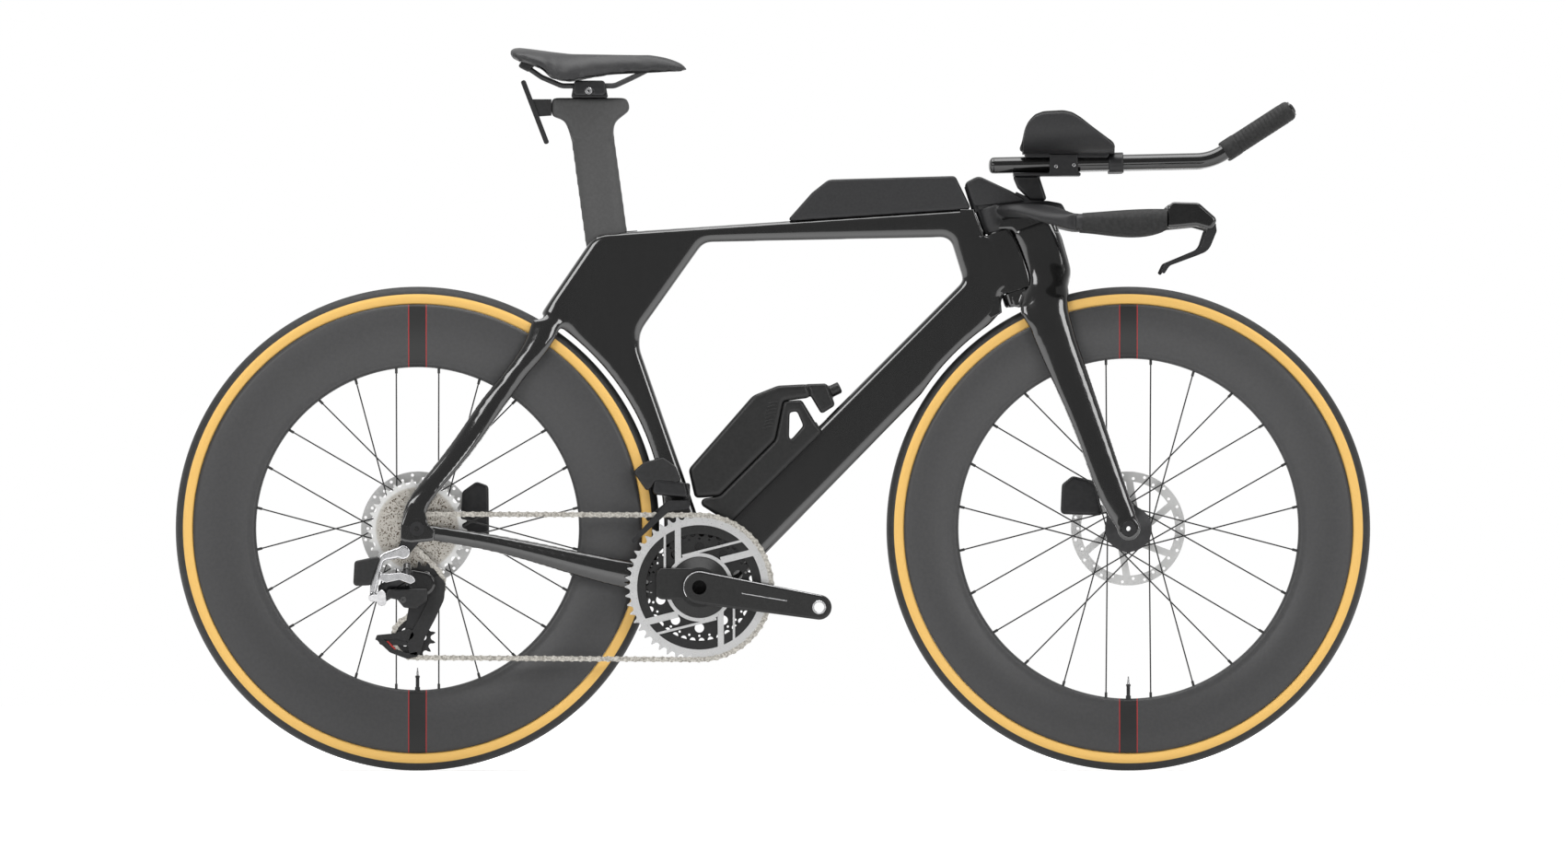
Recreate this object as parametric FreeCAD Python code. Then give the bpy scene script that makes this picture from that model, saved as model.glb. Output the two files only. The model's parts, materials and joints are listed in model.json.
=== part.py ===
"""Time trial bicycle: every separate piece as its own solid, in millimetres.

Frame: +X forward, +Y to the rider's left, +Z up. The origin is on the ground,
midway between the two axles. The drive side is the -Y side.
"""
import FreeCAD
import Part
import math
import os

# Driving dimensions: wheels and frame geometry
tyre_diameter = 678.0
tyre_width = 28.0
tyre_wall = 2.6
rim_outer_radius = 314.0
rim_width = 30.0
rim_wall = 2.4
rear_rim_depth = 88.0
front_rim_depth = 76.0
wheelbase = 996.2
chainstay_length = 403.5
bottom_bracket_drop = 82.0
head_angle = 72.5
fork_offset = 50.0
crown_height = 365.0
wheel_gap = 6.5

# Driving dimensions: frame shell
frame_width = 36.0
frame_wall = 4.0
frame_edge_radius = 8.0
head_tube_radius = 20.0
head_tube_length = 86.0
head_bearing_height = 7.0
head_bearing_wall = 3.0
steerer_radius = 14.3
bearing_gap = 0.05
moving_gap = 0.6
nose_gap = 0.9
shell_radius = 31.0
shell_width = 76.0
shell_bearing_radius = 22.0
shell_bearing_length = 9.0
rear_spacing = 142.0
front_spacing = 100.0
dropout_thickness = 8.0
dropout_radius = 16.0
axle_radius = 6.0
axle_bore_radius = 3.5
axle_cap_radius = 10.0
axle_cap_thickness = 3.0
end_gap = 0.3

# Driving dimensions: seatpost and saddle
post_chord = 62.0
post_thickness = 21.0
post_lean = 7.8
post_setback = 132.0
post_clamp_height = 499.0
post_insertion = 72.0
post_travel_down = 45.0
post_gap = 0.3
saddle_length = 251.0
saddle_width = 132.0
rail_radius = 3.5
rail_spacing = 44.0
bottle_screw_spacing = 64.0
bottle_screw_radius = 2.1

# Driving dimensions: drivetrain
chain_pitch = 12.7
ring_teeth = 50
inner_ring_teeth = 37
cog_teeth = (10, 11, 12, 13, 14, 15, 17, 19, 21, 24, 28, 33)
cog_step = 3.4
cog_thickness = 1.6
pulley_teeth = 14
pulley_thickness = 1.9
roller_radius = 3.75
tooth_height = 3.0
chain_plate_height = 8.4
chain_plate = 0.62
chain_inner_width = 2.3
chain_plate_gap = 0.1
chain_pin_radius = 1.8
chain_settle = 40.0
ring_line = 48.0
inner_ring_line = 40.5
ring_thickness = 1.9
last_cog_line = 65.0
crank_length = 170.0
crank_angle = -9.4
crank_thickness = 13.0
pedal_stance = 146.0
spindle_radius = 14.5
pedal_thread_radius = 7.14

# Driving dimensions: cockpit
bar_width = 400.0
extension_radius = 11.1
extension_spread = 122.0
extension_grip_radius = 14.5
base_grip_length = 148.0

# Driving dimensions: brakes
rotor_diameter = 160.0
rotor_thickness = 1.8
rotor_track = 14.0
pad_gap = 0.4
spoke_count = 24
spoke_radius = 1.0
flange_radius = 29.5

V = FreeCAD.Vector
wheel_radius = tyre_diameter / 2
rear_axle_at = (-wheelbase / 2, wheel_radius)
front_axle_at = (wheelbase / 2, wheel_radius)
crank_at = (
    rear_axle_at[0] + math.sqrt(chainstay_length**2 - bottom_bracket_drop**2),
    wheel_radius - bottom_bracket_drop,
)
lean = math.radians(head_angle)
up_axis = (-math.cos(lean), math.sin(lean))
ahead = (math.sin(lean), math.cos(lean))
frame_half = frame_width / 2
bearing_radius = steerer_radius + bearing_gap


def offset(anchor, dx, dz):
    """Point in the side plane, measured from an anchor."""
    return (anchor[0] + dx, anchor[1] + dz)


def head(along, forward):
    """Point in the side plane: along the steering axis from the crown, and ahead of the axis."""
    foot = offset(front_axle_at, -fork_offset * ahead[0], -fork_offset * ahead[1])
    reach = crown_height + along
    return (
        foot[0] + reach * up_axis[0] + forward * ahead[0],
        foot[1] + reach * up_axis[1] + forward * ahead[1],
    )


post_lean_rad = math.radians(post_lean)
post_axis = (-math.sin(post_lean_rad), math.cos(post_lean_rad))
post_mouth = offset(crank_at, -post_setback, post_clamp_height)


def post(along, forward=0.0):
    """Point in the side plane along the seatpost axis from the frame's mouth."""
    return (
        post_mouth[0] + along * post_axis[0] + forward * post_axis[1],
        post_mouth[1] + along * post_axis[1] - forward * post_axis[0],
    )


def spatial(point, y):
    return V(point[0], y, point[1])


def outline(corners, y=0.0):
    """Closed wire in the side plane from corners (point, radius), each corner rounded by an arc."""
    starts = []
    ends = []
    middles = []
    count = len(corners)
    for i in range(count):
        here = V(corners[i][0][0], y, corners[i][0][1])
        radius = corners[i][1]
        before = corners[i - 1][0]
        after = corners[(i + 1) % count][0]
        back = (V(before[0], y, before[1]) - here).normalize()
        on = (V(after[0], y, after[1]) - here).normalize()
        half = back.getAngle(on) / 2
        if radius < 1e-6:
            starts.append(here)
            middles.append(None)
            ends.append(here)
            continue
        setback = radius / math.tan(half)
        middle_way = (back + on).normalize()
        centre = here + middle_way * (radius / math.sin(half))
        starts.append(here + back * setback)
        middles.append(centre - middle_way * radius)
        ends.append(here + on * setback)
    edges = []
    for i in range(count):
        if middles[i] is not None:
            edges.append(Part.Arc(starts[i], middles[i], ends[i]).toShape())
        edges.append(Part.LineSegment(ends[i], starts[(i + 1) % count]).toShape())
    return Part.Wire(edges)


def slab(corners, y_from, y_to, holes=()):
    """Flat piece with the given side outline between two planes."""
    face = Part.Face(outline(corners, y_from))
    for hole in holes:
        face = face.cut(Part.Face(outline(hole, y_from)))
    return face.extrude(V(0, y_to - y_from, 0))


def soften(shape, radius, planes):
    """Rounds every edge that lies in one of the side planes."""
    chosen = []
    for edge in shape.Edges:
        box = edge.BoundBox
        for y in planes:
            if abs(box.YMin - y) < 1e-4 and abs(box.YMax - y) < 1e-4:
                chosen.append(edge)
    return shape.makeFillet(radius, chosen)


def soft_slab(corners, y_from, y_to, radius, holes=()):
    return soften(slab(corners, y_from, y_to, holes), radius, (y_from, y_to))


def capsule(a, radius_a, b, radius_b, y_from, y_to):
    """Flat piece with two round ends joined by their common tangents."""
    first = V(a[0], y_from, a[1])
    second = V(b[0], y_from, b[1])
    way = (second - first).normalize()
    side = V(-way.z, 0, way.x)
    lean_in = math.acos((radius_a - radius_b) / (second - first).Length)
    toward = way * math.cos(lean_in)
    aside = side * math.sin(lean_in)
    up_a = first + (toward + aside) * radius_a
    up_b = second + (toward + aside) * radius_b
    down_a = first + (toward - aside) * radius_a
    down_b = second + (toward - aside) * radius_b
    edges = [
        Part.LineSegment(up_a, up_b).toShape(),
        Part.Arc(up_b, second + way * radius_b, down_b).toShape(),
        Part.LineSegment(down_b, down_a).toShape(),
        Part.Arc(down_a, first - way * radius_a, up_a).toShape(),
    ]
    return Part.Face(Part.Wire(edges)).extrude(V(0, y_to - y_from, 0))


def bent_path(points, bend):
    """Straight runs joined by tangent arcs."""
    edges = []
    last = points[0]
    for i in range(1, len(points) - 1):
        here = points[i]
        back = (points[i - 1] - here).normalize()
        on = (points[i + 1] - here).normalize()
        half = back.getAngle(on) / 2
        setback = bend / math.tan(half)
        middle_way = (back + on).normalize()
        centre = here + middle_way * (bend / math.sin(half))
        start = here + back * setback
        end = here + on * setback
        edges.append(Part.LineSegment(last, start).toShape())
        edges.append(Part.Arc(start, centre - middle_way * bend, end).toShape())
        last = end
    edges.append(Part.LineSegment(last, points[-1]).toShape())
    return Part.Wire(edges)


def bent_rod(points, radius, bend):
    """Round bar swept along straight runs and tangent arcs."""
    way = points[1] - points[0]
    circle = Part.Wire([Part.Circle(points[0], way, radius).toShape()])
    return bent_path(points, bend).makePipeShell([circle], True, False)


def rod(start, end, radius, bore=0.0):
    """Cylinder between two points, hollow if it has a bore."""
    along = end - start
    solid = Part.makeCylinder(radius, along.Length, start, along)
    if bore > 0:
        solid = solid.cut(Part.makeCylinder(bore, along.Length, start, along))
    return solid


def cross_rod(at, y_from, y_to, radius, bore=0.0):
    """Cylinder across the bicycle at a point of the side plane."""
    return rod(spatial(at, y_from), spatial(at, y_to), radius, bore)


def ring_wire(centre, first, second, a, b, taper=0.0, power=1.0):
    """Closed smooth section: an oval in the plane of two directions, thinner to one end by taper."""
    points = []
    steps = 12
    for i in range(steps):
        turn = 2 * math.pi * i / steps
        c = math.cos(turn)
        s = math.sin(turn)
        across = a * math.copysign(abs(c) ** power, c)
        over = b * math.copysign(abs(s) ** power, s) * (1 + taper * c)
        points.append(centre + first * across + second * over)
    curve = Part.BSplineCurve()
    curve.interpolate(Points=points, PeriodicFlag=True)
    return Part.Wire([curve.toShape()])


along_x = V(1, 0, 0)
along_y = V(0, 1, 0)
along_z = V(0, 0, 1)


def loft_flat(stations, taper=0.0, power=1.0):
    """Loft through level sections: each station is x, y, z, half depth in X, half width in Y."""
    wires = []
    for x, y, z, a, b in stations:
        wires.append(ring_wire(V(x, y, z), along_x, along_y, a, b, taper, power))
    return Part.makeLoft(wires, True, False)


def loft_upright(stations, power=1.0):
    """Loft through cross sections square to X: x, y, z, half height in Z, half width in Y."""
    wires = []
    for x, y, z, a, b in stations:
        wires.append(ring_wire(V(x, y, z), along_z, along_y, a, b, 0.0, power))
    return Part.makeLoft(wires, True, False)


def loft_across(stations, power=1.0):
    """Loft through sections square to Y: y, x, z, half depth in X, half height in Z."""
    wires = []
    for y, x, z, a, b in stations:
        wires.append(ring_wire(V(x, y, z), along_x, along_z, a, b, 0.0, power))
    return Part.makeLoft(wires, True, False)


def turned(at, profile):
    """Solid of revolution about a cross axis: profile points are (y, radius) or arc triples."""
    edges = []
    first = None
    last = None
    for item in profile:
        if len(item) == 2:
            point = V(at[0], item[0], at[1] + item[1])
            if last is None:
                first = point
            else:
                edges.append(Part.LineSegment(last, point).toShape())
            last = point
        else:
            through = V(at[0], item[0], at[1] + item[1])
            end = V(at[0], item[2], at[1] + item[3])
            edges.append(Part.Arc(last, through, end).toShape())
            last = end
    edges.append(Part.LineSegment(last, first).toShape())
    face = Part.Face(Part.Wire(edges))
    return face.revolve(spatial(at, 0), along_y, 360)


def mirror(shape):
    return shape.mirror(V(0, 0, 0), along_y)


def pair(shape):
    """A piece and its mirror image on the other side of the bicycle."""
    return Part.makeCompound([shape, mirror(shape)])


def unite(first, *others):
    result = first
    for other in others:
        result = result.fuse(other)
    return result.removeSplitter()


def wheel_room(axle):
    return cross_rod(axle, -200, 200, wheel_radius + wheel_gap)


# Frame shell
top_back = offset(post_mouth, -14.0, -4.0)
head_top = head(128.0, -22.0)
down_foot = offset(crank_at, 42.0, -6.0)
down_top = head(-24.0, -31.0)
down_length = math.dist(down_foot, down_top)
down_way = ((down_top[0] - down_foot[0]) / down_length, (down_top[1] - down_foot[1]) / down_length)


def on_down_tube(along, above):
    """Point in the side plane along the lower edge of the down tube and square above it."""
    return (
        down_foot[0] + along * down_way[0] - above * down_way[1],
        down_foot[1] + along * down_way[1] + above * down_way[0],
    )


def frame_outline():
    return [
        (head_top, 9.0),
        (head(head_tube_length, -19.5), 7.0),
        (head(head_tube_length, 0.0), 9.0),
        (head(moving_gap, 0.0), 9.0),
        (head(moving_gap, -20.0), 9.0),
        (down_top, 9.0),
        (down_foot, 60.0),
        (offset(crank_at, 24.0, -31.0), 26.0),
        (offset(crank_at, -30.0, -31.0), 26.0),
        (offset(crank_at, -50.0, 44.0), 20.0),
        (offset(crank_at, -252.0, 340.0), 12.0),
        (top_back, 32.0),
    ]


def triangle_outline():
    return [
        (offset(post_mouth, 138.0, -16.5), 20.0),
        (offset(crank_at, -89.0, 349.0), 45.0),
        (offset(crank_at, 9.0, 67.0), 12.0),
        (head(35.5, -66.5), 10.0),
        (head(99.0, -66.0), 16.0),
    ]


def post_section(along, grow):
    centre = spatial(post(along), 0)
    chordwise = V(post_axis[1], 0, -post_axis[0])
    return ring_wire(centre, chordwise, along_y, post_chord / 2 + grow, post_thickness / 2 + grow, 0.25)


def post_solid(low, high, grow=0.0):
    return Part.makeLoft([post_section(low, grow), post_section(high, grow)], True, True)


def make_frame():
    face = Part.Face(outline(frame_outline(), -frame_half))
    face = face.cut(Part.Face(outline(triangle_outline(), -frame_half))).Faces[0]
    shell = face.extrude(V(0, frame_width, 0))
    shell = soften(shell, frame_edge_radius, (-frame_half, frame_half))
    inside = face.makeOffset2D(-frame_wall)
    inside.translate(V(0, frame_wall, 0))
    hollow = inside.extrude(V(0, frame_width - 2 * frame_wall, 0))
    for axle in (rear_axle_at, front_axle_at):
        shell = shell.cut(wheel_room(axle))
        hollow = hollow.cut(cross_rod(axle, -200, 200, wheel_radius + wheel_gap + frame_wall))
    shell = shell.cut(hollow)
    tube = rod(
        spatial(head(moving_gap, 0), 0),
        spatial(head(head_tube_length, 0), 0),
        head_tube_radius,
    )
    bracket = cross_rod(crank_at, -shell_width / 2, shell_width / 2, shell_radius)
    shell = shell.fuse(tube).fuse(bracket)
    bore = rod(spatial(head(-40, 0), 0), spatial(head(head_tube_length + 60, 0), 0), steerer_radius + 0.7)
    shell = shell.cut(bore)
    for base in (moving_gap, head_tube_length - head_bearing_height):
        seat = rod(
            spatial(head(base, 0), 0),
            spatial(head(base + head_bearing_height, 0), 0),
            bearing_radius + head_bearing_wall,
        )
        shell = shell.cut(seat)
    bb_bore = cross_rod(crank_at, -shell_width / 2, shell_width / 2, shell_bearing_radius)
    shell = shell.cut(bb_bore)
    slot = post_solid(-post_insertion - post_travel_down - 3, 40, post_gap)
    return shell.cut(slot).removeSplitter()


def make_bearings():
    """Headset and bottom bracket bearings: one plain ring for each."""
    rings = []
    for base in (moving_gap, head_tube_length - head_bearing_height):
        rings.append(
            rod(
                spatial(head(base, 0), 0),
                spatial(head(base + head_bearing_height, 0), 0),
                bearing_radius + head_bearing_wall,
                bearing_radius,
            )
        )
    inner = spindle_radius + bearing_gap
    edge = shell_width / 2
    for start in (-edge, edge - shell_bearing_length):
        rings.append(
            cross_rod(crank_at, start, start + shell_bearing_length, shell_bearing_radius, inner)
        )
    return Part.makeCompound(rings)


# Stays
drop_y = rear_spacing / 2 + dropout_thickness / 2
stay_gap = 4.0


def make_seatstays():
    top = offset(crank_at, -216.0, 384.0)
    low = rear_axle_at
    stations = [
        (low[0] - 6, drop_y, low[1] + 8, 17.0, dropout_thickness / 2),
        (low[0] + 4, drop_y, low[1] + 38, 18.5, dropout_thickness / 2 + 0.5),
        (low[0] + 48, 55.0, low[1] + 95, 20.0, 7.0),
        (low[0] + 104, 35.0, low[1] + 173, 20.5, 7.5),
        (low[0] + 163, 26.0, low[1] + 250, 23.5, 8.0),
        (top[0], 14.0, top[1] - 6, 24.0, 9.0),
    ]
    stay = loft_flat(stations).cut(cross_rod(rear_axle_at, 0, 200, dropout_radius))
    tyre_room = cross_rod(rear_axle_at, 0, tyre_width / 2 + stay_gap, wheel_radius + wheel_gap)
    return pair(stay.cut(tyre_room))


def make_chainstays():
    low = rear_axle_at
    base = crank_at
    stations = [
        (base[0] - 14, 25.0, base[1] + 4, 22.0, 10.0),
        (base[0] - 62, 27.5, base[1] + 11, 21.0, 8.5),
        (base[0] - 105, 31.5, base[1] + 18.5, 20.5, 8.5),
        (base[0] - 225, 50.0, base[1] + 47, 15.5, 8.0),
        (low[0] + 60, 70.0, low[1] - 12, 12.0, 6.0),
        (low[0] + 8, drop_y, low[1] - 4, 11.5, dropout_thickness / 2),
    ]
    stay = loft_upright(stations)
    eye = cross_rod(rear_axle_at, rear_spacing / 2, rear_spacing / 2 + dropout_thickness, dropout_radius)
    stay = stay.fuse(eye)
    inner = rear_spacing / 2
    outer = inner + dropout_thickness
    stay = stay.cut(cross_rod(rear_axle_at, 0, inner, dropout_radius + 10.0))
    stay = stay.cut(cross_rod(rear_axle_at, outer, 200, dropout_radius + 40.0))
    stay = stay.cut(cross_rod(rear_axle_at, 0, 200, axle_radius))
    stay = stay.cut(cross_rod(crank_at, 0, 200, shell_radius))
    return pair(stay.removeSplitter())


def make_rear_axle():
    end = rear_spacing / 2 + dropout_thickness
    shaft = cross_rod(rear_axle_at, -end, end, axle_radius)
    near = -end - hanger_thickness
    cap = cross_rod(rear_axle_at, near - axle_cap_thickness, near, axle_cap_radius)
    neck = cross_rod(rear_axle_at, near, -end, axle_radius)
    far_cap = cross_rod(rear_axle_at, end, end + axle_cap_thickness, axle_cap_radius)
    shaft = unite(shaft, cap, neck, far_cap)
    return shaft.cut(cross_rod(rear_axle_at, -end - 30, end + 30, axle_bore_radius))


# Derailleur hanger
hanger_thickness = 6.0
hanger_eye = offset(rear_axle_at, -19.0, -33.0)
hanger_outer = -(rear_spacing / 2 + dropout_thickness + hanger_thickness)


def make_hanger():
    inner = hanger_outer + hanger_thickness
    disc = cross_rod(rear_axle_at, hanger_outer, inner, 15.0)
    eye = cross_rod(hanger_eye, hanger_outer, inner, 9.5)
    web = slab(
        [
            (offset(rear_axle_at, -14.0, 4.0), 0.0),
            (offset(hanger_eye, -9.0, 2.0), 0.0),
            (offset(hanger_eye, 9.0, -2.0), 0.0),
            (offset(rear_axle_at, 13.0, -6.0), 0.0),
        ],
        hanger_outer,
        inner,
    )
    plate = unite(disc, eye, web)
    return plate.cut(cross_rod(rear_axle_at, hanger_outer - 1, inner + 1, axle_radius))


# Wheels
def make_tyre(axle):
    half = tyre_width / 2
    bead = rim_outer_radius + 0.4
    crown = wheel_radius - half
    lip = rim_width / 2 - 3.5
    return turned(
        axle,
        [
            (-lip, bead),
            (-half + 0.2, crown - 2.0),
            (0.0, wheel_radius, half - 0.2, crown - 2.0),
            (lip, bead),
            (lip - tyre_wall, bead),
            (half - tyre_wall, crown),
            (0.0, wheel_radius - tyre_wall - 1.0, -half + tyre_wall, crown),
            (-lip + tyre_wall, bead),
        ],
    )


def rim_profile(depth, inset):
    """Side profile of the rim, drawn in by the inset all round."""
    half = rim_width / 2 - inset
    top = rim_outer_radius - inset
    nose = rim_outer_radius - depth + inset
    belly = rim_outer_radius - 0.38 * depth
    foot = nose + 9.0
    foot_half = 6.5 - 0.4 * inset
    return [
        (-half + 2.0, top),
        (-half, belly, -foot_half, foot),
        (0.0, nose, foot_half, foot),
        (half, belly, half - 2.0, top),
    ]


def make_rim(axle, depth):
    solid = turned(axle, rim_profile(depth, 0.0))
    return solid.cut(turned(axle, rim_profile(depth, rim_wall)))


def spoke_ends(axle, depth, k, left_y, right_y):
    """Rim end and hub end of one spoke; two run each way in turn, from alternate flanges."""
    step = 2 * math.pi / spoke_count
    turn = (k + 0.5) * step
    side = left_y if k % 2 else right_y
    sense = 1 if k % 4 < 2 else -1
    at_rim = rim_outer_radius - depth + rim_wall
    hub_turn = turn + sense * math.acos(flange_radius / at_rim)
    rim_end = V(axle[0] + at_rim * math.sin(turn), 0.0, axle[1] + at_rim * math.cos(turn))
    hub_end = V(
        axle[0] + flange_radius * math.sin(hub_turn),
        side,
        axle[1] + flange_radius * math.cos(hub_turn),
    )
    return rim_end, hub_end


def make_spokes(axle, depth, left_y, right_y):
    """Spokes, each with the nipple that shows at the rim."""
    pieces = []
    for k in range(spoke_count):
        rim_end, hub_end = spoke_ends(axle, depth, k, left_y, right_y)
        inward = (hub_end - rim_end).normalize()
        nipple = rod(rim_end, rim_end + inward * 9.0, 1.9)
        pieces.append(rod(rim_end, hub_end, spoke_radius).fuse(nipple))
    return Part.makeCompound(pieces)


hub_bore = axle_radius + bearing_gap
cassette_inner = -last_cog_line + (len(cog_teeth) - 1) * cog_step + cog_thickness / 2
hub_right_end = cassette_inner + end_gap
rear_left_flange = 34.0
rear_right_flange = hub_right_end + 7.5
front_left_flange = 24.0
front_right_flange = -31.0
rear_rotor_y = 55.0
front_rotor_y = 38.0


def make_hub(axle, left_end, left_y, right_y, right_end, rotor_y):
    """Turned hub shell with two flanges and the seat of the rotor."""
    barrel = 12.5
    rim = flange_radius + 3.0
    return turned(
        axle,
        [
            (right_end, hub_bore),
            (right_end, 10.0),
            (right_y - 7.0, 11.0),
            (right_y - 3.0, rim - 4.0),
            (right_y - 2.0, rim),
            (right_y + 2.0, rim),
            (right_y + 3.0, rim - 4.0),
            (right_y + 9.0, barrel),
            (left_y - 9.0, barrel),
            (left_y - 3.0, rim - 4.0),
            (left_y - 2.0, rim),
            (left_y + 2.0, rim),
            (left_y + 2.0, 17.0),
            (rotor_y + rotor_thickness / 2, 17.0),
            (rotor_y + rotor_thickness / 2, 10.0),
            (left_end, 10.0),
            (left_end, hub_bore),
        ],
    )


def make_rotor(axle, y):
    """Brake rotor: a pierced track on a carrier with curved arms."""
    outer = rotor_diameter / 2
    inner = outer - rotor_track
    low = y - rotor_thickness / 2
    high = y + rotor_thickness / 2
    track = cross_rod(axle, low, high, outer, inner)
    centre = cross_rod(axle, low, high, 24.0, 17.1)
    disc = track.fuse(centre)
    arms = 6
    for i in range(arms):
        turn = 2 * math.pi * i / arms
        foot = V(axle[0] + 21 * math.cos(turn), y, axle[1] + 21 * math.sin(turn))
        ahead_turn = turn + 0.5
        tip = V(
            axle[0] + (inner + 2) * math.cos(ahead_turn), y, axle[1] + (inner + 2) * math.sin(ahead_turn)
        )
        way = (tip - foot).normalize()
        side = way.cross(along_y)
        corners = [foot + side * 5, tip + side * 5, tip - side * 5, foot - side * 5]
        base = [V(c.x, low, c.z) for c in corners]
        arm = Part.Face(Part.makePolygon(base + [base[0]])).extrude(V(0, rotor_thickness, 0))
        disc = disc.fuse(arm)
    holes = []
    rows = 30
    for i in range(rows):
        turn = 2 * math.pi * i / rows
        reach = inner + rotor_track * (0.32 if i % 2 else 0.66)
        at = (axle[0] + reach * math.cos(turn), axle[1] + reach * math.sin(turn))
        holes.append(cross_rod(at, low - 1, high + 1, 2.1))
    return disc.cut(Part.makeCompound(holes)).removeSplitter()


def make_valve(axle, depth):
    """Valve stem at the bottom of the wheel, pointing at the hub."""
    nose = rim_outer_radius - depth
    top = V(axle[0], 0, axle[1] - nose + 22.0)
    seat = V(axle[0], 0, axle[1] - nose - rim_wall)
    cap = V(axle[0], 0, axle[1] - nose + 12.0)
    return rod(seat, cap, 3.0).fuse(rod(cap, top, 2.1)).removeSplitter()


# Chain wheels and chain
def pitch_radius(teeth):
    return chain_pitch / (2 * math.sin(math.pi / teeth))


def toothed_face(at, y, teeth, phase):
    """Face of a chain wheel: each tooth gap is one arc that seats a chain roller."""
    seat = roller_radius + 0.25
    base = pitch_radius(teeth)
    edges = []
    firsts = []
    for i in range(teeth):
        turn = phase + 2 * math.pi * i / teeth
        out = V(math.cos(turn), 0, math.sin(turn))
        round_way = V(-math.sin(turn), 0, math.cos(turn))
        centre = V(at[0], y, at[1]) + out * base
        sideways = math.radians(12)
        lip = round_way * (seat * math.cos(sideways)) - out * (seat * math.sin(sideways))
        other = round_way * (-seat * math.cos(sideways)) - out * (seat * math.sin(sideways))
        firsts.append(centre + other)
        edges.append((centre + other, centre - out * seat, centre + lip, out, round_way))
    built = []
    tip_half = 0.7
    for i in range(teeth):
        start, through, end, out, round_way = edges[i]
        built.append(Part.Arc(start, through, end).toShape())
        turn = phase + 2 * math.pi * (i + 0.5) / teeth
        reach = base + tooth_height
        tip = V(at[0] + reach * math.cos(turn), y, at[1] + reach * math.sin(turn))
        along = V(-math.sin(turn), 0, math.cos(turn))
        built.append(Part.LineSegment(end, tip - along * tip_half).toShape())
        built.append(Part.LineSegment(tip - along * tip_half, tip + along * tip_half).toShape())
        built.append(Part.LineSegment(tip + along * tip_half, firsts[(i + 1) % teeth]).toShape())
    return Part.Face(Part.Wire(built))


def toothed_disc(at, y_from, y_to, teeth, phase):
    return toothed_face(at, y_from, teeth, phase).extrude(V(0, y_to - y_from, 0))


guide_at = offset(rear_axle_at, 9.0, -77.0)
pulley_distance = 76.0
cage_lean = 253.9
turn_way = {"ring": 1, "tension": 1, "guide": -1, "cog": 1}
wheel_teeth = {"ring": ring_teeth, "tension": pulley_teeth, "guide": pulley_teeth, "cog": cog_teeth[0]}
wheel_line = {"ring": -ring_line, "tension": -last_cog_line, "guide": -last_cog_line, "cog": -last_cog_line}
chain_order = ("ring", "tension", "guide", "cog")


def tension_at(lean_degrees):
    lean_now = math.radians(lean_degrees)
    return offset(guide_at, pulley_distance * math.cos(lean_now), pulley_distance * math.sin(lean_now))


def chain_runs(lean_degrees):
    """Straight runs of the chain between its wheels, as start, end and the angles on the wheels."""
    places = {"ring": crank_at, "cog": rear_axle_at, "guide": guide_at}
    places["tension"] = tension_at(lean_degrees)
    runs = []
    for i in range(4):
        here = chain_order[i]
        there = chain_order[(i + 1) % 4]
        a = places[here]
        b = places[there]
        reach_a = turn_way[here] * pitch_radius(wheel_teeth[here])
        reach_b = turn_way[there] * pitch_radius(wheel_teeth[there])
        gap = math.hypot(b[0] - a[0], b[1] - a[1])
        heading = math.atan2(b[1] - a[1], b[0] - a[0]) + math.asin((reach_b - reach_a) / gap)
        side = (-math.sin(heading), math.cos(heading))
        start = (a[0] + reach_a * side[0], a[1] + reach_a * side[1])
        end = (b[0] + reach_b * side[0], b[1] + reach_b * side[1])
        angle_out = math.atan2(reach_a * side[1], reach_a * side[0])
        angle_in = math.atan2(reach_b * side[1], reach_b * side[0])
        runs.append((here, there, start, end, angle_out, angle_in))
    return places, runs


def chain_spans(lean_degrees):
    """The closed path as spans with their lengths in chain pitches."""
    places, runs = chain_runs(lean_degrees)
    spans = []
    for i in range(4):
        here, there, start, end, angle_out, angle_in = runs[i]
        length = math.hypot(end[0] - start[0], end[1] - start[1])
        spans.append(("run", here, there, start, end, length / chain_pitch))
        leave = runs[(i + 1) % 4][4]
        wrap = (angle_in - leave) * turn_way[there]
        wrap = wrap % (2 * math.pi)
        spans.append(("arc", there, places[there], angle_in, wrap, wrap * wheel_teeth[there] / (2 * math.pi)))
    return spans


def chain_pitches(lean_degrees):
    return sum(span[5] for span in chain_spans(lean_degrees))


def settle_cage():
    """Cage lean that makes the chain a whole, even number of links."""
    links = 2 * round(chain_pitches(cage_lean) / 2)
    best = cage_lean
    for _ in range(40):
        here = chain_pitches(best) - links
        slope = (chain_pitches(best + 0.05) - chain_pitches(best - 0.05)) / 0.1
        best -= max(-4.0, min(4.0, here / slope))
    return best, links


rest_lean, link_count = settle_cage()
tension_rest = tension_at(rest_lean)


def chain_pins():
    """Pin centres all round the chain, and the tooth phase of each wheel."""
    pins = []
    phases = {}
    gone = 0.0
    index = 0
    for span in chain_spans(rest_lean):
        size = span[5]
        while index < gone + size - 1e-9 and index < link_count:
            part = index - gone
            if span[0] == "run":
                share = part / size
                x = span[3][0] + share * (span[4][0] - span[3][0])
                z = span[3][1] + share * (span[4][1] - span[3][1])
                slant = max(size * chain_pitch - 2 * chain_settle, chain_pitch)
                crossed = min(max((part * chain_pitch - chain_settle) / slant, 0.0), 1.0)
                y = wheel_line[span[1]] + crossed * (wheel_line[span[2]] - wheel_line[span[1]])
            else:
                wheel = span[1]
                angle = span[3] - turn_way[wheel] * part * 2 * math.pi / wheel_teeth[wheel]
                reach = pitch_radius(wheel_teeth[wheel])
                x = span[2][0] + reach * math.cos(angle)
                z = span[2][1] + reach * math.sin(angle)
                y = wheel_line[wheel]
                phases[wheel] = angle
            pins.append(V(x, y, z))
            index += 1
        gone += size
    return pins, phases


pins, tooth_phase = chain_pins()


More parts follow.
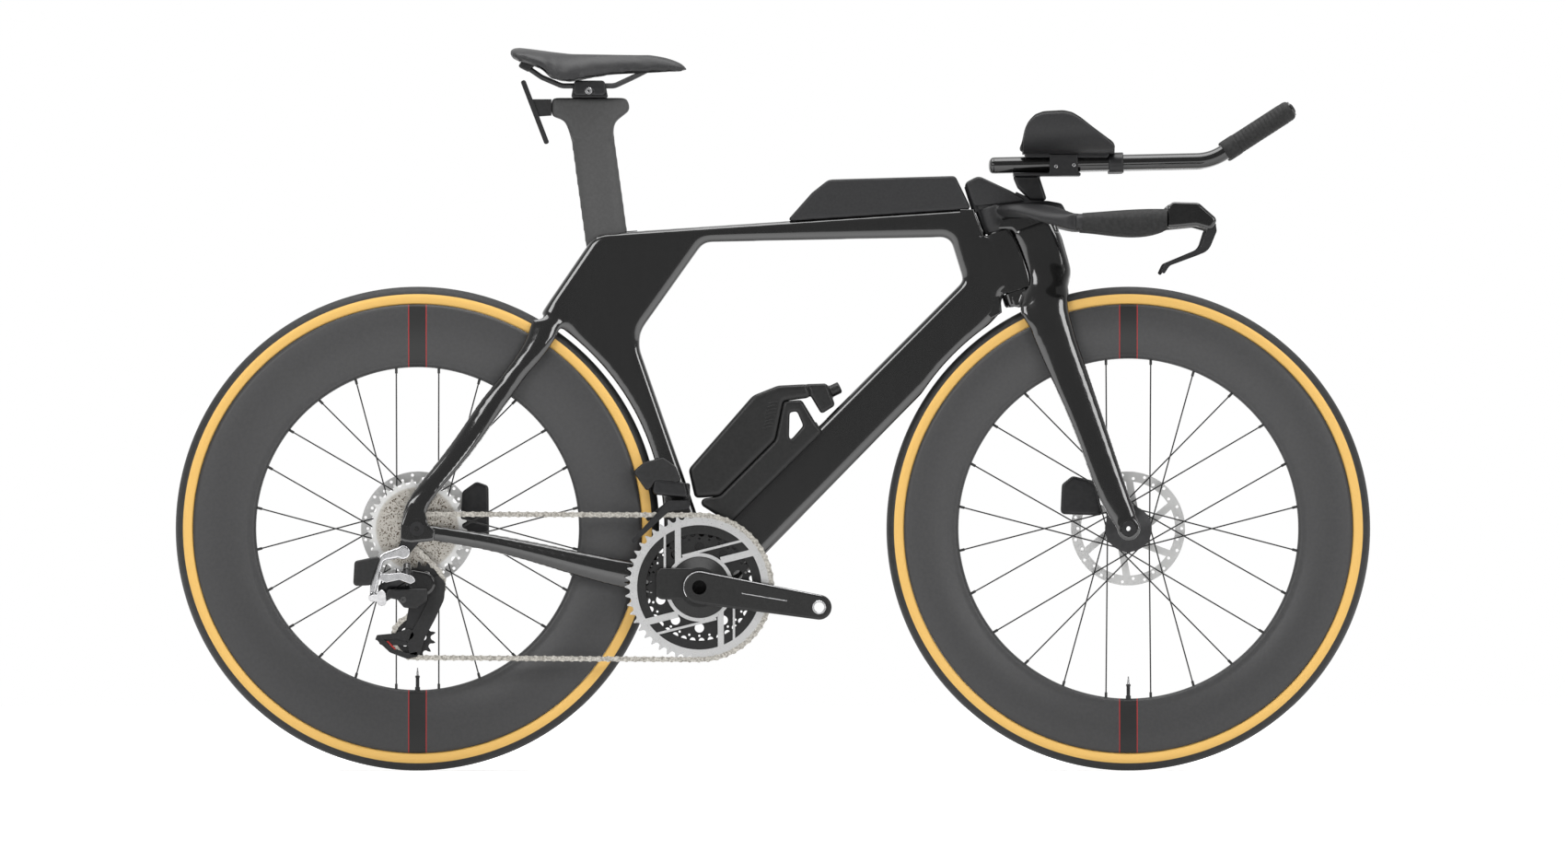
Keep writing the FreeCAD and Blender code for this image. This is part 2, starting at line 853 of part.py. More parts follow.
def link_plate(length, y_from, y_to, bore):
    """One chain plate in its own frame: pins on the X axis, waisted between them."""
    half = chain_plate_height / 2
    waist = half - 1.0
    pieces = [
        Part.makeBox(length, y_to - y_from, 2 * waist, V(0, y_from, -waist)),
        Part.makeCylinder(half, y_to - y_from, V(0, y_from, 0), along_y),
        Part.makeCylinder(half, y_to - y_from, V(length, y_from, 0), along_y),
    ]
    plate = unite(*pieces)
    for x in (0, length):
        plate = plate.cut(Part.makeCylinder(bore, y_to - y_from, V(x, y_from, 0), along_y))
    return plate


def make_chain():
    """Inner links with rollers and outer links with pins, in turn, all round the loop."""
    bore = chain_pin_radius + 0.2
    inner_half = chain_inner_width / 2
    inner_face = inner_half + chain_plate
    outer_half = inner_face + chain_plate_gap
    outer_face = outer_half + chain_plate
    inner = unite(
        link_plate(chain_pitch, -inner_face, -inner_half, bore),
        link_plate(chain_pitch, inner_half, inner_face, bore),
        rod(V(0, -inner_half, 0), V(0, inner_half, 0), roller_radius, bore),
        rod(V(chain_pitch, -inner_half, 0), V(chain_pitch, inner_half, 0), roller_radius, bore),
    )
    outer = unite(
        link_plate(chain_pitch, -outer_face, -outer_half, chain_pin_radius / 2),
        link_plate(chain_pitch, outer_half, outer_face, chain_pin_radius / 2),
        rod(V(0, -outer_face, 0), V(0, outer_face, 0), chain_pin_radius),
        rod(V(chain_pitch, -outer_face, 0), V(chain_pitch, outer_face, 0), chain_pin_radius),
    )
    links = []
    for i in range(link_count):
        start = pins[i]
        end = pins[(i + 1) % link_count]
        way = (end - start).normalize()
        upright = way.cross(along_y).normalize()
        across = upright.cross(way)
        matrix = FreeCAD.Matrix(
            way.x, across.x, upright.x, start.x,
            way.y, across.y, upright.y, start.y,
            way.z, across.z, upright.z, start.z,
            0, 0, 0, 1,
        )
        link = (outer if i % 2 else inner).copy()
        link.Placement = FreeCAD.Placement(matrix)
        links.append(link)
    return Part.makeCompound(links)


def make_cassette():
    """Twelve cogs on one stepped core that runs on the axle."""
    core = []
    discs = []
    for i in range(len(cog_teeth)):
        teeth = cog_teeth[i]
        y = -last_cog_line + i * cog_step
        phase = tooth_phase["cog"] if i == 0 else tooth_phase["cog"] + 0.3 * i
        low = y - cog_thickness / 2
        disc = toothed_disc(rear_axle_at, low, low + cog_thickness, teeth, phase)
        if teeth > 16:
            slots = []
            count = 7
            inner_reach = pitch_radius(teeth) * 0.55
            outer_reach = pitch_radius(teeth) - 9.0
            for k in range(count):
                turn = 2 * math.pi * k / count + 0.2 * i
                middle = (inner_reach + outer_reach) / 2
                size = max(2.0, (outer_reach - inner_reach) / 2)
                at = (rear_axle_at[0] + middle * math.cos(turn), rear_axle_at[1] + middle * math.sin(turn))
                slots.append(cross_rod(at, low - 1, low + cog_thickness + 1, min(size, 5.0)))
            disc = disc.cut(Part.makeCompound(slots))
        discs.append(disc)
        reach = min(pitch_radius(teeth) * 0.55, 26.0) if i > 0 else 12.0
        depth = cog_step if i + 1 < len(cog_teeth) else cog_thickness
        core.append(cross_rod(rear_axle_at, low, low + depth, max(reach, 12.0)))
    face = -rear_spacing / 2 + end_gap
    core.append(cross_rod(rear_axle_at, face, -last_cog_line, 11.0))
    body = unite(discs[0], *discs[1:], *core)
    return body.cut(cross_rod(rear_axle_at, -100, 0, hub_bore))


# Cranks and chainrings
crank_turn = math.radians(crank_angle)
crank_way = (math.cos(crank_turn), math.sin(crank_turn))
pedal_right_at = offset(crank_at, crank_length * crank_way[0], crank_length * crank_way[1])
pedal_left_at = offset(crank_at, -crank_length * crank_way[0], -crank_length * crank_way[1])
pedal_face = pedal_stance / 2
boss_radius = 23.0
pedal_boss_radius = 17.5


def crank_blade():
    """Tapered arm from the spindle to the pedal thread, on the drive side."""
    back = -pedal_face
    blade = capsule(crank_at, boss_radius, pedal_right_at, pedal_boss_radius, back, back + crank_thickness)
    return soften(blade, 3.5, (back, back + crank_thickness))


spider_radius = 43.0
spider_inner = -ring_line + 4.5


def make_crank_right():
    """Drive side arm, and the spindle with its spider seated against the arm's back."""
    back = -pedal_face
    seat = back + crank_thickness
    hollow = cross_rod(crank_at, back - 1, pedal_face, spindle_radius - 4.5)
    thread = cross_rod(pedal_right_at, back - 1, seat + 1, pedal_thread_radius)
    blade = crank_blade().cut(thread).cut(hollow)
    spider = cross_rod(crank_at, -ring_line - 3.0, spider_inner, spider_radius)
    dome = Part.makeCone(
        spider_radius - 1, 28.0, 9.0, spatial(crank_at, -ring_line - 3.0), V(0, -1, 0)
    )
    tail = soft_slab(
        [
            (offset(crank_at, -61.0, 27.0), 10.0),
            (offset(crank_at, 0.0, 27.0), 6.0),
            (offset(crank_at, 0.0, -17.0), 6.0),
            (offset(crank_at, -61.0, -17.0), 10.0),
        ],
        -ring_line - 12.0,
        -ring_line - 2.5,
        2.5,
    )
    boss = cross_rod(crank_at, seat, spider_inner, boss_radius - 1)
    spindle = cross_rod(crank_at, spider_inner - 1, pedal_face - 3.0, spindle_radius)
    axle = unite(spider, dome, tail, boss, spindle).cut(hollow).cut(blade)
    return Part.makeCompound(blade.Solids + axle.Solids)


def make_crank_left():
    blade = crank_blade()
    blade = blade.rotate(spatial(crank_at, 0), along_y, 180)
    blade = mirror(blade)
    boss = cross_rod(crank_at, shell_width / 2 + moving_gap, pedal_face - 2.0, boss_radius - 1)
    arm = unite(blade, boss)
    arm = arm.cut(cross_rod(crank_at, 0, pedal_face - 3.0, spindle_radius))
    front = pedal_face - crank_thickness
    return arm.cut(cross_rod(pedal_left_at, front - 1, pedal_face + 1, pedal_thread_radius))


def straight_bar(near, far, width, y_from, y_to):
    """Flat straight bar of a chainring between two points measured from the crank axle."""
    run = math.hypot(far[0] - near[0], far[1] - near[1])
    side = ((near[1] - far[1]) / run * width / 2, (far[0] - near[0]) / run * width / 2)
    corners = []
    for point, turn in ((near, -1), (far, -1), (far, 1), (near, 1)):
        corners.append((offset(crank_at, point[0] + turn * side[0], point[1] + turn * side[1]), 0.0))
    return slab(corners, y_from, y_to)


ring_bars = (
    ((-48.4, 0.0), (-48.4, 79.0), 3.2),
    ((-29.8, 30.0), (-30.2, 87.0), 8.5),
    ((-24.0, 44.0), (64.0, 66.2), 3.4),
    ((30.0, 37.5), (77.5, 49.4), 9.5),
)


def make_outer_ring():
    """Outer chainring: toothed rim, two pairs of double arms and the seat on the spider."""
    y_from = -ring_line - ring_thickness / 2
    y_to = -ring_line + ring_thickness / 2
    rim_inner = pitch_radius(ring_teeth) - 14.0
    disc = toothed_disc(crank_at, y_from, y_to, ring_teeth, tooth_phase["ring"])
    disc = disc.cut(cross_rod(crank_at, y_from - 1, y_to + 1, rim_inner))
    seat = cross_rod(crank_at, y_from, y_to, spider_radius + 5.0, spider_radius)
    shapes = [disc, seat]
    for near, far, width in ring_bars:
        for turn in (1, -1):
            start = (turn * near[0], turn * near[1])
            end = (turn * far[0], turn * far[1])
            shapes.append(straight_bar(start, end, width, y_from, y_to))
    ring = unite(*shapes)
    return ring.cut(cross_rod(crank_at, y_from - 1, y_to + 1, spider_radius))


def make_inner_ring():
    """Inner chainring with round windows and small holes, seated on the back of the spider."""
    y_from = -inner_ring_line - ring_thickness / 2
    y_to = -inner_ring_line + ring_thickness / 2
    disc = toothed_disc(crank_at, y_from, y_to, inner_ring_teeth, 0.0)
    disc = disc.cut(cross_rod(crank_at, y_from - 1, y_to + 1, shell_radius + 3.0))
    windows = []
    pitch = pitch_radius(inner_ring_teeth)
    for count, reach, radius in ((10, pitch - 18.0, 6.5), (30, pitch - 7.0, 1.6)):
        for i in range(count):
            turn = 2 * math.pi * (i + 0.5) / count
            at = offset(crank_at, reach * math.cos(turn), reach * math.sin(turn))
            windows.append(cross_rod(at, y_from - 1, y_to + 1, radius))
    disc = disc.cut(Part.makeCompound(windows))
    collar = cross_rod(crank_at, spider_inner, y_from, spider_radius, shell_radius + 3.0)
    return unite(disc, collar)


# Front derailleur
cage_gap = 4.4
fd_travel = 7.0
fd_pin_radius = 2.0
fd_pin_at = offset(crank_at, -28.0, 118.0)
fd_pin_end = -ring_line + 1.0


def make_fd_body():
    """Motor housing on a bracket that is fixed to the seat tube."""
    housing = soft_slab(
        [
            (offset(crank_at, -66.0, 130.0), 7.0),
            (offset(crank_at, -64.0, 152.0), 7.0),
            (offset(crank_at, -20.0, 147.0), 7.0),
            (offset(crank_at, -14.0, 124.0), 7.0),
        ],
        -46.0,
        -frame_half - 3.0,
        3.0,
    )
    bracket = slab(
        [
            (offset(crank_at, -40.0, 112.0), 3.0),
            (offset(crank_at, -40.0, 146.0), 3.0),
            (offset(crank_at, -13.0, 146.0), 3.0),
            (offset(crank_at, -13.0, 112.0), 3.0),
        ],
        -frame_half - 6.0,
        -frame_half,
    )
    pin = cross_rod(fd_pin_at, fd_pin_end, -frame_half - 1.0, fd_pin_radius)
    return unite(housing, bracket, pin)


def make_fd_battery(body):
    """Battery that clips on the top of the motor housing."""
    block = soft_slab(
        [
            (offset(crank_at, -93.0, 162.0), 5.0),
            (offset(crank_at, -78.0, 175.0), 6.0),
            (offset(crank_at, -51.0, 182.0), 6.0),
            (offset(crank_at, -33.0, 169.0), 6.0),
            (offset(crank_at, -24.0, 146.0), 5.0),
            (offset(crank_at, -63.0, 146.0), 5.0),
            (offset(crank_at, -72.0, 132.0), 5.0),
        ],
        -46.0,
        -frame_half - 4.0,
        2.5,
    )
    return block.cut(body)


def make_fd_cage():
    """Two plates that straddle the chain, bridged at the top and the tail."""
    corners = [
        (offset(crank_at, -43.0, 121.5), 3.0),
        (offset(crank_at, -15.0, 121.5), 3.0),
        (offset(crank_at, -13.0, 110.5), 3.0),
        (offset(crank_at, -42.0, 106.5), 20.0),
        (offset(crank_at, -92.0, 61.0), 2.0),
        (offset(crank_at, -95.0, 66.0), 2.0),
    ]
    outer_y = -ring_line - cage_gap - 2.0
    inner_y = -ring_line + cage_gap + 1.4
    outer = slab(corners, outer_y - 2.0, outer_y)
    inner = slab(
        [
            (offset(crank_at, -43.0, 121.5), 3.0),
            (offset(crank_at, -15.0, 121.5), 3.0),
            (offset(crank_at, -13.0, 112.0), 3.0),
            (offset(crank_at, -42.0, 110.0), 10.0),
            (offset(crank_at, -72.0, 92.0), 2.0),
            (offset(crank_at, -76.0, 97.0), 2.0),
        ],
        inner_y,
        inner_y + 2.0,
    )
    bridge = slab(
        [
            (offset(crank_at, -38.0, 115.5), 1.5),
            (offset(crank_at, -38.0, 120.5), 1.5),
            (offset(crank_at, -18.0, 120.5), 1.5),
            (offset(crank_at, -18.0, 115.5), 1.5),
        ],
        outer_y - 1.0,
        inner_y + 1.0,
    )
    cage = unite(outer, inner, bridge)
    deepest = fd_pin_end - fd_travel - 1.0
    return cage.cut(cross_rod(fd_pin_at, deepest, 0, fd_pin_radius + bearing_gap))


# Rear derailleur
rd_gap = 0.4
rd_inner = hanger_outer
rd_outer = rd_inner - 9.0
link_length = 45.0
shift_slant = 50.3
link_axis = V(0, math.sin(math.radians(shift_slant)), math.cos(math.radians(shift_slant)))


def make_rd_battery(base):
    """Battery that clips over the back of the base."""
    block = soft_slab(
        [
            (offset(hanger_eye, -68.0, -12.0), 5.0),
            (offset(hanger_eye, -30.0, -4.0), 5.0),
            (offset(hanger_eye, -45.0, -46.0), 5.0),
            (offset(hanger_eye, -70.0, -47.0), 5.0),
        ],
        rd_outer - 12.0,
        rd_inner + 8.0,
        3.5,
    )
    return block.cut(base)


def oval_link(start, end, radius, low, high, axis):
    """Flat link with round ends, square to the pivot axis."""
    base_a = start + axis * low
    base_b = end + axis * low
    depth = high - low
    way = (end - start).normalize()
    side = axis.cross(way)
    corners = [base_a + side * radius, base_b + side * radius, base_b - side * radius, base_a - side * radius]
    web = Part.Face(Part.makePolygon(corners + [corners[0]])).extrude(axis * depth)
    return unite(
        web,
        Part.makeCylinder(radius, depth, base_a, axis),
        Part.makeCylinder(radius, depth, base_b, axis),
    )


inboard = V(0, link_axis.z, -link_axis.y)
link_rest = math.radians(38.0)
link_way = V(math.cos(link_rest), 0, 0) - inboard * math.sin(link_rest)
link_apart = 15.0
link_radius = 5.0
link_half = 6.0
link_pin = 2.4
pivot_outer = V(hanger_eye[0] - 30.0, rd_inner - 7.0, hanger_eye[1] - 52.0)
pivot_inner = pivot_outer + inboard * link_apart
knuckle_outer = pivot_outer + link_way * link_length
knuckle_inner = pivot_inner + link_way * link_length
yoke_radius = 6.5
yoke_plate = 4.0
base_lug = 12.0
knuckle_lug = 12.5


def link_yoke(first, second, thick_from, thick_to):
    return oval_link(first, second, yoke_radius, thick_from, thick_to, link_axis)


def link_pins(low, high, *centres):
    return [Part.makeCylinder(link_pin, high - low, c + link_axis * low, link_axis) for c in centres]


def make_rd_base():
    """Forged base: eye on the hanger bolt, arm down the back and the plate of the link pivots."""
    eye = cross_rod(hanger_eye, rd_outer, rd_inner, 9.5)
    arm = soft_slab(
        [
            (offset(hanger_eye, -2.0, 9.0), 6.0),
            (offset(hanger_eye, 6.0, -6.0), 4.0),
            (offset(hanger_eye, -27.5, -12.0), 8.0),
            (offset(hanger_eye, -40.0, -66.0), 3.0),
            (offset(hanger_eye, -47.0, -66.0), 3.0),
            (offset(hanger_eye, -46.0, -44.0), 8.0),
            (offset(hanger_eye, -32.0, -2.0), 10.0),
        ],
        rd_outer,
        rd_inner,
        2.0,
    )
    high = -link_half - rd_gap
    low = high - yoke_plate
    plate = link_yoke(pivot_outer, pivot_inner, low, high)
    middle = (pivot_outer + pivot_inner) * 0.5
    lug = link_yoke(middle, middle - along_x * base_lug, low, high)
    return unite(eye, arm, plate, lug, *link_pins(low, link_half, pivot_outer, pivot_inner))


def make_rd_link(first, second):
    link = oval_link(first, second, link_radius, -link_half, link_half, link_axis)
    for end in (first, second):
        link = link.cut(Part.makeCylinder(link_pin + 0.08, 40, end - link_axis * 20, link_axis))
    return link


knuckle_face = -last_cog_line - 7.2
cage_plate = 2.0
cage_outer_y = -last_cog_line - 4.4
cage_inner_y = -last_cog_line + 4.4
pulley_pin = 3.0


def make_rd_knuckle():
    """Knuckle: housing of the cage pivot, carried by the two links."""
    housing = capsule(guide_at, 17.0, offset(guide_at, -16.0, 6.0), 14.0, knuckle_face - 16.0, knuckle_face)
    housing = soften(housing, 3.0, (knuckle_face - 16.0,))
    low = link_half + rd_gap
    high = low + knuckle_lug
    plate = link_yoke(knuckle_outer, knuckle_inner, low, high)
    bolt = cross_rod(guide_at, knuckle_face, cage_outer_y - cage_plate - rd_gap, 8.0)
    return unite(housing, plate, bolt, *link_pins(-link_half, high, knuckle_outer, knuckle_inner))


def make_rd_cage():
    """Two cage plates on the pulley bolts, with the tail that guides the chain."""
    sheets = []
    for y_from, y_to, is_outer in (
        (cage_outer_y - cage_plate, cage_outer_y, True),
        (cage_inner_y, cage_inner_y + cage_plate, False),
    ):
        sheet = capsule(guide_at, 15.0, tension_rest, 13.0, y_from, y_to)
        if is_outer:
            tail = capsule(tension_rest, 12.0, offset(tension_rest, -43.0, -6.0), 5.0, y_from, y_to)
            sheet = sheet.fuse(tail)
        sheets.append(sheet)
    bolts = []
    for at in (guide_at, tension_rest):
        bolts.append(cross_rod(at, cage_outer_y - 1, cage_inner_y + 1, pulley_pin))
    return unite(*sheets, *bolts)


def make_pulley(at, wheel):
    """Toothed pulley that runs on its bolt, pierced by five windows."""
    low = -last_cog_line - pulley_thickness / 2
    high = low + pulley_thickness
    disc = toothed_disc(at, low, high, pulley_teeth, tooth_phase[wheel])
    windows = []
    count = 5
    for i in range(count):
        turn = 2 * math.pi * i / count
        centre = offset(at, 14.0 * math.cos(turn), 14.0 * math.sin(turn))
        windows.append(cross_rod(centre, low - 1, high + 1, 4.6))
    disc = disc.cut(Part.makeCompound(windows))
    hub = cross_rod(at, cage_outer_y + rd_gap, cage_inner_y - rd_gap, 6.5)
    disc = unite(disc, hub)
    return disc.cut(cross_rod(at, -200, 0, pulley_pin + bearing_gap))


# Seatpost and saddle
post_top = 150.0
saddle_at = post(post_top + 48.0, 5.0)
rail_height = saddle_at[1] + 6.5
rail_y = rail_spacing / 2


def on_post(dx, dz):
    return offset(post(post_top), dx, dz)


def make_seatpost():
    shaft = post_solid(-post_insertion, post_top - 4)
    crown = soft_slab(
        [
            (on_post(-55.0, 38.0), 4.5),
            (on_post(51.0, 38.0), 7.0),
            (on_post(56.0, 21.0), 7.0),
            (on_post(34.0, 4.0), 14.0),
            (on_post(29.0, -22.0), 4.5),
            (on_post(-26.0, -22.0), 4.5),
            (on_post(-36.0, 6.0), 14.0),
            (on_post(-55.0, 12.0), 4.5),
        ],
        -13.0,
        13.0,
        4.0,
    )
    return unite(shaft, crown)


def make_saddle_clamp():
    """Cradle between the rails, an ear outside each rail and the cross bolt under them."""
    low = on_post(0, 38.0)[1]
    inside = rail_y - rail_radius - 0.3
    outside = rail_y + rail_radius + 0.3
    centre = saddle_at[0]
    cradle = slab(
        [
            ((centre - 26.0, low), 2.0),
            ((centre - 22.0, low + 21.0), 5.0),
            ((centre + 22.0, low + 21.0), 5.0),
            ((centre + 26.0, low), 2.0),
        ],
        -inside,
        inside,
    )
    ear = slab(
        [
            ((centre - 22.0, low + 3.0), 5.0),
            ((centre - 22.0, low + 24.0), 5.0),
            ((centre + 22.0, low + 24.0), 5.0),
            ((centre + 22.0, low + 3.0), 5.0),
        ],
        outside,
        outside + 6.0,
    )
    bolt = cross_rod((centre, low + 8.0), -outside - 7.0, outside + 7.0, 3.0)
    head_disc = cross_rod((centre, low + 8.0), -outside - 9.0, -outside - 6.0, 5.0)
    return unite(cradle, ear, mirror(ear), bolt, head_disc)


saddle_nose = saddle_at[0] + 137.0
saddle_tail = saddle_nose - saddle_length
saddle_crown = rail_height + 43.0
saddle_stations = (
    (0.0, 0.66, 5.0, -3.0),
    (0.06, 0.90, 8.0, -9.0),
    (0.19, 1.0, 4.0, -20.0),
    (0.29, 0.92, 1.5, -34.0),
    (0.44, 0.62, 0.0, -32.0),
    (0.62, 0.39, -0.5, -26.0),
    (0.80, 0.31, -1.0, -24.0),
    (0.93, 0.26, -4.0, -22.0),
    (1.0, 0.16, -12.0, -20.0),
)
pad_depth = 13.0
shell_skin = 2.6


def saddle_section(share, width, crown_rise, edge_drop):
    """Half width, crown, edge and underside heights of the saddle at a share of its length."""
    x = saddle_tail + share * saddle_length
    half = width * saddle_width / 2
    top = saddle_crown + crown_rise
    edge = min(saddle_crown + edge_drop, top - 6.0)
    under = max(edge + 1.5, top - pad_depth)
    return x, half, top, edge, under


def make_saddle_pad():
    """Padded top with a crown and drawn-in sides."""
    wires = []
    for station in saddle_stations:
        x, half, top, edge, under = saddle_section(*station)
        left = V(x, -half, edge)
        right = V(x, half, edge)
        rise = 0.30 * (top - edge)
        left_top = V(x, -0.72 * half, top - rise)
        right_top = V(x, 0.72 * half, top - rise)
        left_mid = V(x, -0.97 * half, edge + 0.45 * (top - rise - edge))
        right_mid = V(x, 0.97 * half, edge + 0.45 * (top - rise - edge))
        wires.append(
            Part.Wire(
                [
                    Part.Arc(left, left_mid, left_top).toShape(),
                    Part.Arc(left_top, V(x, 0, top), right_top).toShape(),
                    Part.Arc(right_top, right_mid, right).toShape(),
                    Part.Arc(right, V(x, 0, under), left).toShape(),
                ]
            )
        )
    return Part.makeLoft(wires, True, False)


def make_saddle_shell():
    """Thin shell under the pad, from the tail to behind the nose."""
    wires = []
    for station in saddle_stations[1:-1]:
        x, half, top, edge, under = saddle_section(*station)
        reach = half - 3.0
        low = edge - 0.4
        upper = under - 0.6
        wires.append(
            Part.Wire(
                [
                    Part.Arc(V(x, -reach, low), V(x, 0, upper), V(x, reach, low)).toShape(),
                    Part.Arc(V(x, reach, low), V(x, 0, upper - shell_skin), V(x, -reach, low)).toShape(),
                ]
            )
        )
    return Part.makeLoft(wires, True, False)


def make_rails():
    """Two rails that run from sockets under the nose to sockets under the tail."""
    points = [
        V(saddle_nose - 50.0, 9.0, rail_height + 25.0),
        V(saddle_nose - 76.0, 17.0, rail_height + 12.0),
        V(saddle_nose - 102.0, rail_y, rail_height),
        V(saddle_nose - 176.0, rail_y, rail_height),
        V(saddle_nose - 204.0, rail_y + 5.0, rail_height + 12.0),
        V(saddle_nose - 226.0, rail_y + 11.0, rail_height + 27.0),
    ]
    return pair(bent_rod(points, rail_radius, 20.0))


mount_lean = math.radians(21.0)
mount_down = (math.sin(mount_lean), -math.cos(mount_lean))
mount_back = (-math.cos(mount_lean), -math.sin(mount_lean))
mount_top = on_post(-98.5, 61.0)
mount_length = 95.0
mount_thickness = 7.0


def on_mount(down, back):
    return offset(
        mount_top,
        down * mount_down[0] + back * mount_back[0],
        down * mount_down[1] + back * mount_back[1],
    )


def mount_screws():
    middle = mount_length / 2
    return (middle - bottle_screw_spacing / 2, middle + bottle_screw_spacing / 2)


def make_bottle_mount():
    """Plate for a bottle cage behind the saddle, on a bracket from the head of the post."""
    plate = slab(
        [
            (on_mount(0.0, 0.0), 3.0),
            (on_mount(0.0, -mount_thickness), 3.0),
            (on_mount(mount_length, -mount_thickness), 3.0),
            (on_mount(mount_length, 0.0), 3.0),
        ],
        -14.0,
        14.0,
    )
    bracket = slab(
        [
            (on_mount(28.0, -3.0), 0.0),
            (on_post(-55.0, 36.0), 0.0),
            (on_post(-55.0, 13.0), 0.0),
            (on_mount(54.0, -3.0), 0.0),
        ],
        -11.0,
        11.0,
    )
    mount = unite(plate, bracket)
    for down in mount_screws():
        mount = mount.cut(
            rod(
                spatial(on_mount(down, 2.0), 0),
                spatial(on_mount(down, -mount_thickness), 0),
                bottle_screw_radius,
            )
        )
    return mount


wedge_forward = post_chord / 2 + 5.5


def wedge_block(room=0.0):
    """Wedge in front of the post, or its pocket where there is room round it."""
    top = -16.0 + room
    foot = -44.0 - room
    back = post_chord / 2 - 6.0
    return slab(
        [
            (post(top, back), 0.0),
            (post(top, wedge_forward + 5.0 + room), 2.0),
            (post(foot, wedge_forward + 3.0 + room), 2.0),
            (post(foot, back), 0.0),
        ],
        -8.0 - room,
        8.0 + room,
    )


def make_wedge():
    """Wedge with the bolt that draws it up."""
    block = wedge_block().cut(post_solid(-60, 20, 0.1))
    bolt = rod(spatial(post(-40.0, wedge_forward), 0), spatial(post(-10.0, wedge_forward), 0), 3.0)
    cap = rod(spatial(post(-12.5, wedge_forward), 0), spatial(post(-8.5, wedge_forward), 0), 4.5)
    return unite(block, bolt, cap)


def wedge_hole():
    return rod(spatial(post(-30.0, wedge_forward), 0), spatial(post(30.0, wedge_forward), 0), 4.8)


# Fork
nose_back = head_tube_radius + nose_gap
steerer_top = 125.0
blade_inner = tyre_width / 2 + 5.0


def blade_stations():
    drop = front_spacing / 2 + dropout_thickness / 2
    a = front_axle_at
    return [
        (a[0] - 0.5, drop, a[1] + 2, 17.0, dropout_thickness / 2),
        (a[0] - 14.5, drop - 1.5, a[1] + 31, 20.5, dropout_thickness / 2 + 0.8),
        (a[0] - 42.5, 46.0, a[1] + 108, 22.5, 6.5),
        (a[0] - 71.5, 37.0, a[1] + 186, 25.5, 7.5),
        (a[0] - 97.0, 30.5, a[1] + 250, 29.0, 8.5),
        (a[0] - 111.0, blade_inner + 8.0, a[1] + 295, 30.5, 9.0),
        (a[0] - 112.0, 16.6, a[1] + 335, 31.0, 10.5),
    ]


def ahead_of_axis(low, high):
    """Room ahead of the steering axis between two heights along it."""
    corners = ((low, 0.0), (high, 0.0), (high, 150.0), (low, 150.0))
    return slab([(head(along, forward), 0.0) for along, forward in corners], -frame_half, frame_half)


def make_fork():
    """Fork: nose ahead of the head tube, crown under it, two blades and the steerer."""
    nose = soft_slab(
        [
            (head(84.0, nose_back), 9.0),
            (head(86.5, 76.0), 9.0),
            (head(56.0, 83.5), 40.0),
            (head(3.0, 82.5), 16.0),
            (head(-20.0, 69.5), 30.0),
            (head(-50.0, 59.0), 30.0),
            (head(-70.0, 56.0), 9.0),
            (head(-60.0, 10.0), 9.0),
            (head(-24.0, -19.0), 9.0),
            (head(-moving_gap, -20.0), 9.0),
            (head(-moving_gap, nose_back), 0.0),
        ],
        -frame_half,
        frame_half,
        frame_edge_radius - 0.5,
    )
    crown_round = rod(spatial(head(-90.0, 0), 0), spatial(head(90.0, 0), 0), head_tube_radius)
    nose = nose.common(crown_round.fuse(ahead_of_axis(-90.0, 90.0)))
    nose = nose.cut(wheel_room(front_axle_at))
    blade = loft_flat(blade_stations())
    eye = cross_rod(
        front_axle_at, front_spacing / 2, front_spacing / 2 + dropout_thickness, dropout_radius
    )
    hub_room = cross_rod(front_axle_at, 0, front_spacing / 2, dropout_radius + 8.0)
    right_blade = mirror(blade.fuse(eye).cut(hub_room))
    box = nose.BoundBox
    right_room = Part.makeBox(
        box.XLength + 20, 100, box.ZLength + 20, V(box.XMin - 10, -100, box.ZMin - 10)
    )
    right = nose.common(right_room).fuse(right_blade)
    steerer = rod(spatial(head(-3.0, 0), 0), spatial(head(steerer_top, 0), 0), steerer_radius)
    fork = unite(right, mirror(right), steerer)
    return fork.cut(cross_rod(front_axle_at, -200, 200, axle_radius))


def make_front_axle():
    end = front_spacing / 2 + dropout_thickness
    shaft = cross_rod(front_axle_at, -end, end, axle_radius)
    caps = []
    for way in (-1, 1):
        caps.append(cross_rod(front_axle_at, way * end, way * (end + axle_cap_thickness), axle_cap_radius))
    shaft = unite(shaft, *caps)
    return shaft.cut(cross_rod(front_axle_at, -end - 10, end + 10, axle_bore_radius))


# Cockpit
bar_at = head(107.0, 40.0)
bar_half = bar_width / 2
grip_at = offset(bar_at, 79.0, -19.0)


def on_bar(dx, dz):
    return offset(bar_at, dx, dz)


stub_radius = 11.0
stub_short = 1.0
grip_end = (grip_at[0] + base_grip_length - 24.0, grip_at[1] + 3.5)


def grip_stub():
    return rod(
        V(grip_at[0] - 2, bar_half - 4.0, grip_at[1]),
        V(grip_end[0] - stub_short, bar_half, grip_end[1]),
        stub_radius,
    )


def bar_arm():
    """Flat wing from the stem out to the left grip, and the round stub inside the grip."""
    wing = loft_across(
        [
            (10.0, bar_at[0] + 9.0, bar_at[1] - 1.0, 42.0, 10.0),
            (60.0, bar_at[0] + 13.0, bar_at[1] - 2.0, 37.0, 9.0),
            (bar_half - 70.0, bar_at[0] + 33.0, bar_at[1] - 6.0, 30.0, 8.5),
            (bar_half - 28.0, bar_at[0] + 56.0, bar_at[1] - 14.0, 25.0, 9.5),
            (bar_half - 5.0, bar_at[0] + 78.0, bar_at[1] - 19.0, 16.0, 11.5),
        ]
    )
    return wing.fuse(grip_stub())


